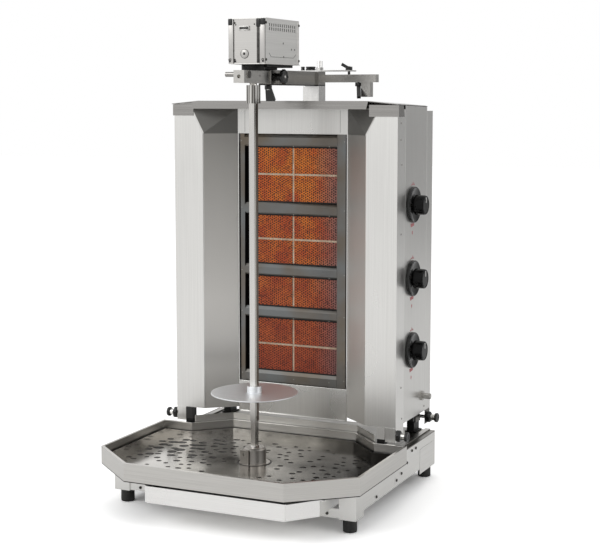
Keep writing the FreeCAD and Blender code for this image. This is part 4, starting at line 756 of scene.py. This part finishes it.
# Fire cement: pale, coarse and crumbly, raked into the joints between the tiles.
cement, tree, shader = new_finish("cement", shade(190, 168, 146), 0.0, 0.9)
place = stretched(tree)
grit = cloud(tree, place, 330.0, 4.0)
dirt = cloud(tree, place, 40.0, 3.0)
raw = between(tree, spread(tree, grit), shade(170, 146, 116), shade(238, 226, 206))
two_tone(tree, shader, spread(tree, dirt, 0.3, 0.7, 0.0, 0.5), raw, shade(150, 112, 84))
relief(tree, shader, grit, 0.6, 0.0008)
dress(cement, "tile_cement")

# Gas line: cast brass valves and drawn brass pipes behind the panel, on a steel manifold.
brass = steel_finish("brass", (206, 176, 108), "z", 0.34)
dress(brass, "gas_valves", "gas_pipework")
dress(bolt_steel, "gas_manifold")
dress(bolt_steel, "valve_spindle_1", "valve_spindle_2", "valve_spindle_3")

# Gas inlet: a turned steel nipple with a threaded end, screwed through the panel by its nut.
inlet_y = 248.25
inlet_z = 203.0
thread_start = in_millimetres("gas_manifold")[1][0] - 14.0
thread_rise = 1.2
root, crest = 6.5, 6.72
ridges = [(6.3, -0.3)]
for k in range(10):
    start = thread_rise * k
    ridges += [(root, start), (crest, start + 0.3), (crest, start + 0.6), (root, start + 0.9)]
ridges.append((6.3, 12.3))
threads = bmesh.new()
turned(threads, ridges, in_metres(thread_start, inlet_y, inlet_z), rightward, 32)
piece("inlet_thread", threads, bolt_steel, "tower")

# Gas knobs: moulded glossy black grips with a sunk grey face and a raised white pointer. Each
# sits over a dished black bezel, and the printed marks beside it are plain faded red shapes.
gloss_black, tree, shader, swirl = mottled("gloss_black", (13, 13, 13), (9, 9, 9), (18, 18, 18), 90.0, 0.1)
tree.links.new(spread(tree, swirl, 0.3, 0.7, 0.07, 0.16), shader.inputs["Roughness"])
shader.inputs["Specular IOR Level"].default_value = 0.12
bezel_black, tree, shader, _ = mottled("bezel_black", (26, 27, 26), (12, 13, 12), (26, 27, 26), 60.0, 0.16)
shader.inputs["Specular IOR Level"].default_value = 0.35
face_grey, tree, shader = new_finish("face_grey", shade(38, 38, 37), 0.0, 0.3)
brush = cloud(tree, stretched(tree, (400.0, 400.0, 20.0)), 1.0, 2.0)
two_tone(tree, shader, spread(tree, brush), shade(22, 22, 21), shade(38, 38, 37))
shader.inputs["Specular IOR Level"].default_value = 0.15
pointer_white = mottled("pointer_white", (226, 226, 222), (206, 206, 202), (236, 236, 233), 300.0, 0.4)[0]
print_red = mottled("print_red", (150, 92, 94), (176, 60, 70), (190, 150, 150), 420.0, 0.6,
                    low=0.35, high=0.65)[0]

knob_outline = [(0, 0.6), (19.4, 0.6), (20.2, 0.0), (21.8, 0.0), (22.5, 0.8), (22.5, 3.0), (22.2, 5.0),
                (21.7, 21.4), (21.4, 22.8), (20.6, 23.8), (19.6, 24.2), (18.7, 24.0), (18.3, 23.2), (0, 23.2)]
face_outline = [(0, 23.2), (16.4, 23.2), (17.0, 23.4), (16.6, 23.7), (0, 23.7)]
bezel_outline = [(7.0, 0), (7.0, 2.6), (7.4, 3.2), (22.6, 3.2), (24.4, 3.5), (30.5, 4.9), (36.0, 6.9),
                 (37.4, 7.8), (38.4, 8.0), (39.5, 7.6), (40.2, 6.3), (40.5, 4.2), (40.4, 0.6), (40.0, 0),
                 (7.0, 0)]
mark_shapes = (((-11, -42), (13, -41), (11, -48), (-9, -50)),
               ((-1.5, -59), (2.5, -59), (3.5, -63.5), (0.5, -68), (-2.5, -64)),
               ((-9, 43), (-5, 47), (0, 43.5)),
               ((0, 44), (3, 52), (6, 44)),
               ((7, 43.5), (10, 48), (13, 42.5)))
panel_x = in_millimetres("knob_bezels")[0][0]
bezels = bmesh.new()
marks = bmesh.new()
for number in "123":
    body = "gas_knob_" + number
    low, high = in_millimetres(body)
    knob_x = low[0]
    knob_y = (low[1] + high[1]) / 2
    knob_z = (low[2] + high[2]) / 2
    seat = in_metres(knob_x, knob_y, knob_z)
    grip = bmesh.new()
    turned(grip, knob_outline, seat, rightward, 64)
    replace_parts(piece(body + "_grip", grip, gloss_black, body, 40.0), body)
    face = bmesh.new()
    turned(face, face_outline, seat, rightward, 48)
    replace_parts(piece(body + "_face", face, face_grey, body), body)
    pointer = bmesh.new()
    block(pointer, (knob_x + 23.4, knob_y - 1.1, knob_z + 5), (knob_x + 24.9, knob_y + 1.1, knob_z + 17.6),
          0.35)
    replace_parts(piece(body + "_pointer", pointer, pointer_white, body), body)
    turned(bezels, bezel_outline, in_metres(panel_x, knob_y, knob_z), rightward, 72)
    for corners in mark_shapes:
        rings = [[marks.verts.new(in_metres(panel_x + out, knob_y + y, knob_z + z)) for y, z in corners]
                 for out in (-0.2, 0.2)]
        marks.faces.new(rings[0])
        marks.faces.new(rings[1])
        for k in range(len(corners)):
            marks.faces.new((rings[0][k - 1], rings[0][k], rings[1][k], rings[1][k - 1]))
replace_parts(piece("dished_bezels", bezels, bezel_black, "tower"), "knob_bezels")
piece("panel_marks", marks, print_red, "tower")

# Clamp knob on the slide tube: an eight-lobed moulded grip with a sunk face and a steel insert.
low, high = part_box("clamp_knob")
knob_seat = (low[0], (low[1] + high[1]) / 2, (low[2] + high[2]) / 2)
grip_end = (high[0] - low[0]) * 1000
grip_start = grip_end - 10.0
grip_outline = [(0, 0), (3.4, 0), (4.0, 0.6), (4.0, 2.9), (8.0, 2.9), (8.0, grip_start), (13.6, grip_start),
                (15.6, grip_start + 0.7), (16.8, grip_start + 2.4), (16.8, grip_end - 2.2),
                (15.8, grip_end - 0.6), (14.2, grip_end), (11.6, grip_end - 0.2), (10.8, grip_end - 1.2),
                (0, grip_end - 1.2)]
knob = bmesh.new()
turned(knob, grip_outline, knob_seat, rightward, 96, lobes(8, 0.12, 13.0))
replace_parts(piece("clamp_knob_grip", knob, black_plastic, "clamp_knob", 40.0), "clamp_knob")
insert = bmesh.new()
turned(insert, [(0, grip_end - 1.4), (3.2, grip_end - 1.4), (3.2, grip_end - 0.8), (2.6, grip_end - 0.4),
                (1.4, grip_end - 0.4), (1.2, grip_end - 1.0), (0, grip_end - 1.0)], knob_seat, rightward, 24)
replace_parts(piece("clamp_knob_insert", insert, sleeve_steel, "clamp_knob"), "clamp_knob")

# Clamping levers: die-cast black handles that ratchet on a splined hub with a small bright screw.
dress(black_plastic, "arm_lever", "plate_lever", "bar_lever")
soften(1.6, "arm_lever", "plate_lever", "bar_lever")
lever_hubs = (("arm_lever", (-0.0014, 0.00825, 0.905), -1), ("plate_lever", (0.0866, 0.25525, 0.958), 1),
              ("bar_lever", (0.1106, 0.25525, 0.913), -1))
for name, hub_end, up in lever_hubs:
    lever_screw = bmesh.new()
    socket_screw(lever_screw, hub_end, (0, 0, up), 3.6, 1.6)
    piece(name + "_screw", lever_screw, sleeve_steel, name)

# Mast, head block, arm bar, cross rod and spit: bright ground bar and tube. The lower edge of the
# slide tube is black, the drive sleeve is streaked, and the right face of the spit is painted
# darker as shade.
bright_steel = steel_finish("bright_steel", (224, 223, 221), "z", 0.24)
arm_steel = steel_finish("arm_steel", (204, 202, 198), "y", 0.22, 2.0)
dress(bright_steel, "arm_post", "top_plate")
dress(arm_steel, "arm_bar", "cross_bar")
tube_steel, tree, shader = new_finish("tube_steel", shade(150, 148, 144), 1.0, 0.22)
lines = cloud(tree, stretched(tree, (900.0, 4.0, 900.0)), 1.0, 2.0)
drawn = between(tree, spread(tree, lines), shade(138, 136, 132), shade(166, 164, 160))
above_edge = along_axis(tree, "Z", 916.0, 916.6)
two_tone(tree, shader, above_edge, shade(14, 13, 13), drawn)
dress(tube_steel, "slide_tube")
sleeve_dull, tree, shader = new_finish("sleeve_dull", shade(150, 148, 144), 1.0, 0.2)
streaks = cloud(tree, stretched(tree, (330.0, 330.0, 3.0)), 1.0, 1.0)
two_tone(tree, shader, spread(tree, streaks, 0.42, 0.58), shade(78, 75, 71), shade(210, 208, 204))
dress(sleeve_dull, "drive_shaft")
rod_steel = steel_finish("rod_steel", (150, 148, 145), "x", 0.2)
dress(rod_steel, "arm_rod")
spit_steel, tree, shader = new_finish("spit_steel", shade(196, 194, 190), 1.0, 0.24)
lines = cloud(tree, stretched(tree, (900.0, 900.0, 5.0)), 1.0, 2.0)
face = between(tree, spread(tree, lines), shade(200, 198, 194), shade(214, 212, 209))
# Painted shade: the right face of the spit is darker than its front.
right_face = along_axis(tree, "X", 5.2, 5.4)
two_tone(tree, shader, right_face, face, shade(112, 103, 96))
dress(spit_steel, "spit_bar")
soften(0.7, "arm_post", "slide_tube", "top_plate", "cross_bar", "arm_bar")
soften(0.6, "drive_shaft", "spit_bar")
# The mouth of the cross rod and a pin hole in the arm bar are dark discs painted as the shade inside them.
rod_mouth = (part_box("arm_rod")[1][0], -0.1117, 0.936)
pin_hole = (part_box("arm_bar")[1][0], -0.0585, 0.9335)
arm_dark = bmesh.new()
turned(arm_dark, [(0, 0.1), (6.4, 0.1), (7.2, 0.5), (7.9, 0.5), (8.2, 0), (0, 0)], rod_mouth, rightward, 32)
turned(arm_dark, [(0, 0), (2.0, 0), (2.0, 0.1), (0, 0.1)], pin_hole, rightward, 20)
piece("arm_bar_holes", arm_dark, seam_and_shade_dark, "arm")

# Meat disc: a stainless plate on a welded hub, its polish dulled by use.
disc_steel = steel_finish("disc_steel", (232, 234, 236), "x", 0.46)
dress(disc_steel, "meat_disc")
soften(0.7, "meat_disc")

# Motor case: silver-anodised plates between extruded corner posts with black caps, two rows of
# vents and a pressed outline on each side, on a black base.
case_finish, tree, shader = new_finish("case_finish", shade(226, 225, 222), 1.0, 0.42)
lines = cloud(tree, stretched(tree, (6.0, 6.0, 700.0)), 1.0, 2.0)
outer = between(tree, spread(tree, lines), shade(226, 225, 222), shade(236, 235, 232))
# Painted shade: inside the case walls, seen through the vents, is near black.
shade_inside = joined(tree, "LESS_THAN", across_axis(tree, "X"), 0.0398)
shade_inside = joined(tree, "MULTIPLY", shade_inside, along_axis(tree, "Y", -92.2, -92.0))
for axis, start, end in (("Y", 75.8, 76.0), ("Z", 1051.6, 1051.8)):
    before_wall = spread(tree, along_axis(tree, axis, start, end), 0.0, 1.0, 1.0, 0.0)
    shade_inside = joined(tree, "MULTIPLY", shade_inside, before_wall)
two_tone(tree, shader, shade_inside, outer, shade(12, 12, 12))
dress(case_finish, "motor_case")
plate_silver = steel_finish("plate_silver", (192, 190, 187), "x", 0.4)
dress(plate_silver, "motor_front_plate")
soften(0.5, "motor_case")
groove_and_shade_dark = mottled("groove_and_shade_dark", (48, 47, 45), (46, 44, 42), (84, 82, 79), 150.0, 0.45, metal=0.3)[0]
post_grey = steel_finish("post_grey", (196, 194, 191), "z", 0.3)
case_low, case_high = in_millimetres("motor_case")
case_x = (case_low[0] + case_high[0]) / 2
half_case = (case_high[0] - case_low[0]) / 2 - 1.2
front_y = case_low[1]


def case_bar(shape, side, insets, depths, heights, edge=0.0, segments=2):
    """A bar on the case, by its insets from one side, depths from the front and heights, in millimetres."""
    left, right = sorted(case_x + side * (half_case - inset) for inset in insets)
    front, back = front_y + depths[0], front_y + depths[1]
    block(shape, (left, front, heights[0]), (right, back, heights[1]), edge, segments)


case_top = case_high[2]
post_rise = (958.5, case_top - 2)
grooves = bmesh.new()
strips = bmesh.new()
post_caps = bmesh.new()
for side in (-1, 1):
    case_bar(grooves, side, (12.6, 11.4), (-0.2, 1.2), post_rise, 0.2)
    case_bar(strips, side, (11.4, -0.2), (-0.5, 1.2), post_rise, 0.9, 3)
    case_bar(post_caps, side, (9.6, -0.5), (-2.2, 5), (case_top - 15, case_top - 1.2), 1.8, 4)
    for inset in (3.2, 14.5):
        seat = in_metres(case_x + side * (half_case - inset), front_y - 0.2, 963.5)
        socket_screw(post_caps, seat, frontward, 2.2, 1.2)
    if side > 0:
        case_bar(post_caps, side, (19.0, 9.5), (-2.0, 0.4), (case_top - 19, case_top - 1.6), 1.4, 4)
        case_bar(grooves, side, (18.2, 12.6), (-0.1, 1.2), (960.0, 1050.0), 0.3)
    case_bar(grooves, side, (-0.1, -0.9), (2.0, 4.6), (959.0, case_top - 1.5))
piece("post_grooves", grooves, groove_and_shade_dark, "arm")
piece("post_strips", strips, post_grey, "arm")
piece("post_caps", post_caps, black_plastic, "arm")

case_middle = in_metres(case_x, (case_low[1] + case_high[1]) / 2, 0.0)
case_heads = bmesh.new()
for low, high in solids_of("case_screws"):
    socket_screw(case_heads, *head_seat(low, high, case_middle))
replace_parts(piece("case_screw_heads", case_heads, blackened, "arm"), "case_screws")


def bead(shape, points, radius):
    """A fine raised line along points in millimetres: eight-sided runs that overlap at the corners."""
    for start, end in zip(points, points[1:]):
        run = Vector(end) - Vector(start)
        shoulder = radius * 0.3
        tip = radius * 0.5
        far = run.length
        outline = [(0, -tip), (radius, -shoulder), (radius, far + shoulder), (0, far + tip)]
        turned(shape, outline, Vector(start) * 0.001, run, 8)


plate_y = front_y + 1.0
# The holes in the case sides are dark discs painted as the shade inside them.
hole_outline = [(0, 0), (2.1, 0), (2.1, 0.15), (0, 0.15)]
pin_outline = [(0, 0), (1.7, 0), (1.5, 0.5), (0.9, 0.7), (0, 0.7)]
side_marks = bmesh.new()
side_holes = bmesh.new()
for side in (-1, 1):
    x = case_x + side * (case_high[0] - case_x - 1.0)
    bead(side_marks, [(x, -75, 981), (x, -66, 973), (x, 47, 973), (x, 60, 981)], 0.45)
    for y, z in ((-5, 1003), (37, 991), (53, 991), (-3, 974)):
        turned(side_holes, hole_outline, in_metres(x, y, z), (side, 0, 0), 16)
for x, z in ((-27.2, 1039.9), (17.0, 1040.5), (-33.0, 965.5)):
    turned(side_holes, pin_outline, in_metres(x, plate_y, z), frontward, 16)
piece("case_outline", side_marks, groove_and_shade_dark, "arm")
piece("case_holes", side_holes, groove_and_shade_dark, "arm")

# Connector and round fitting on the front plate: a black connector body in a bright sleeve, with
# two rows of contacts, and a turned silver gland whose bore is a black disc painted as shade.
plug_and_bore_shade = mottled("plug_black_and_bore_shade", (20, 20, 20), (14, 14, 14), (34, 33, 32), 260.0, 0.3)[0]
plug_x = case_x - 5.0
plug_z = 1032.5
sleeve = bmesh.new()
for left, right, bottom, top in ((-12, 12, 3.0, 4.4), (-12, 12, -4.4, -3.0), (-12, -10.6, -4.4, 4.4),
                                 (10.6, 12, -4.4, 4.4)):
    block(sleeve, (plug_x + left, plate_y - 2.4, plug_z + bottom),
          (plug_x + right, plate_y + 0.4, plug_z + top), 0.3)
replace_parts(piece("plug_sleeve", sleeve, sleeve_steel, "arm"), "motor_sockets")
core = bmesh.new()
block(core, (plug_x - 10.8, plate_y - 1.2, plug_z - 3.2), (plug_x + 10.8, plate_y + 2.6, plug_z + 3.2), 0.3)
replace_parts(piece("plug_core", core, plug_and_bore_shade, "arm"), "motor_sockets")
pins = bmesh.new()
for k in range(6):
    for z in (-1.3, 1.3):
        seat = in_metres(plug_x - 7.5 + 3.0 * k, plate_y - 1.2, plug_z + z)
        turned(pins, [(0, 0), (0.55, 0), (0.55, 0.5), (0.3, 0.8), (0, 0.8)], seat, frontward, 10)
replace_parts(piece("plug_pins", pins, sleeve_steel, "arm"), "motor_sockets")
gland_seat = in_metres(plug_x, plate_y, 979.0)
gland_outline = [(2.6, 0), (2.6, 1.6), (3.2, 2.2), (5.2, 2.2), (6.4, 1.9), (7.4, 1.2), (9.0, 0.9), (9.0, 0),
                 (2.6, 0)]
gland = bmesh.new()
turned(gland, gland_outline, gland_seat, frontward, 40)
rim = bmesh.new()
turned(rim, [(8.8, 0), (8.8, 1.0), (9.6, 0.9), (9.9, 0), (8.8, 0)], gland_seat, frontward, 40)
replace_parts(piece("gland_rim", rim, groove_and_shade_dark, "arm"), "motor_sockets")
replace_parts(piece("gland_ring", gland, plate_silver, "arm"), "motor_sockets")
# The bore is a black disc painted as the shade inside it.
bore = bmesh.new()
turned(bore, [(0, 0.1), (2.7, 0.1), (2.7, 0.4), (0, 0.4)], gland_seat, frontward, 24)
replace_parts(piece("gland_bore", bore, plug_and_bore_shade, "arm"), "motor_sockets")
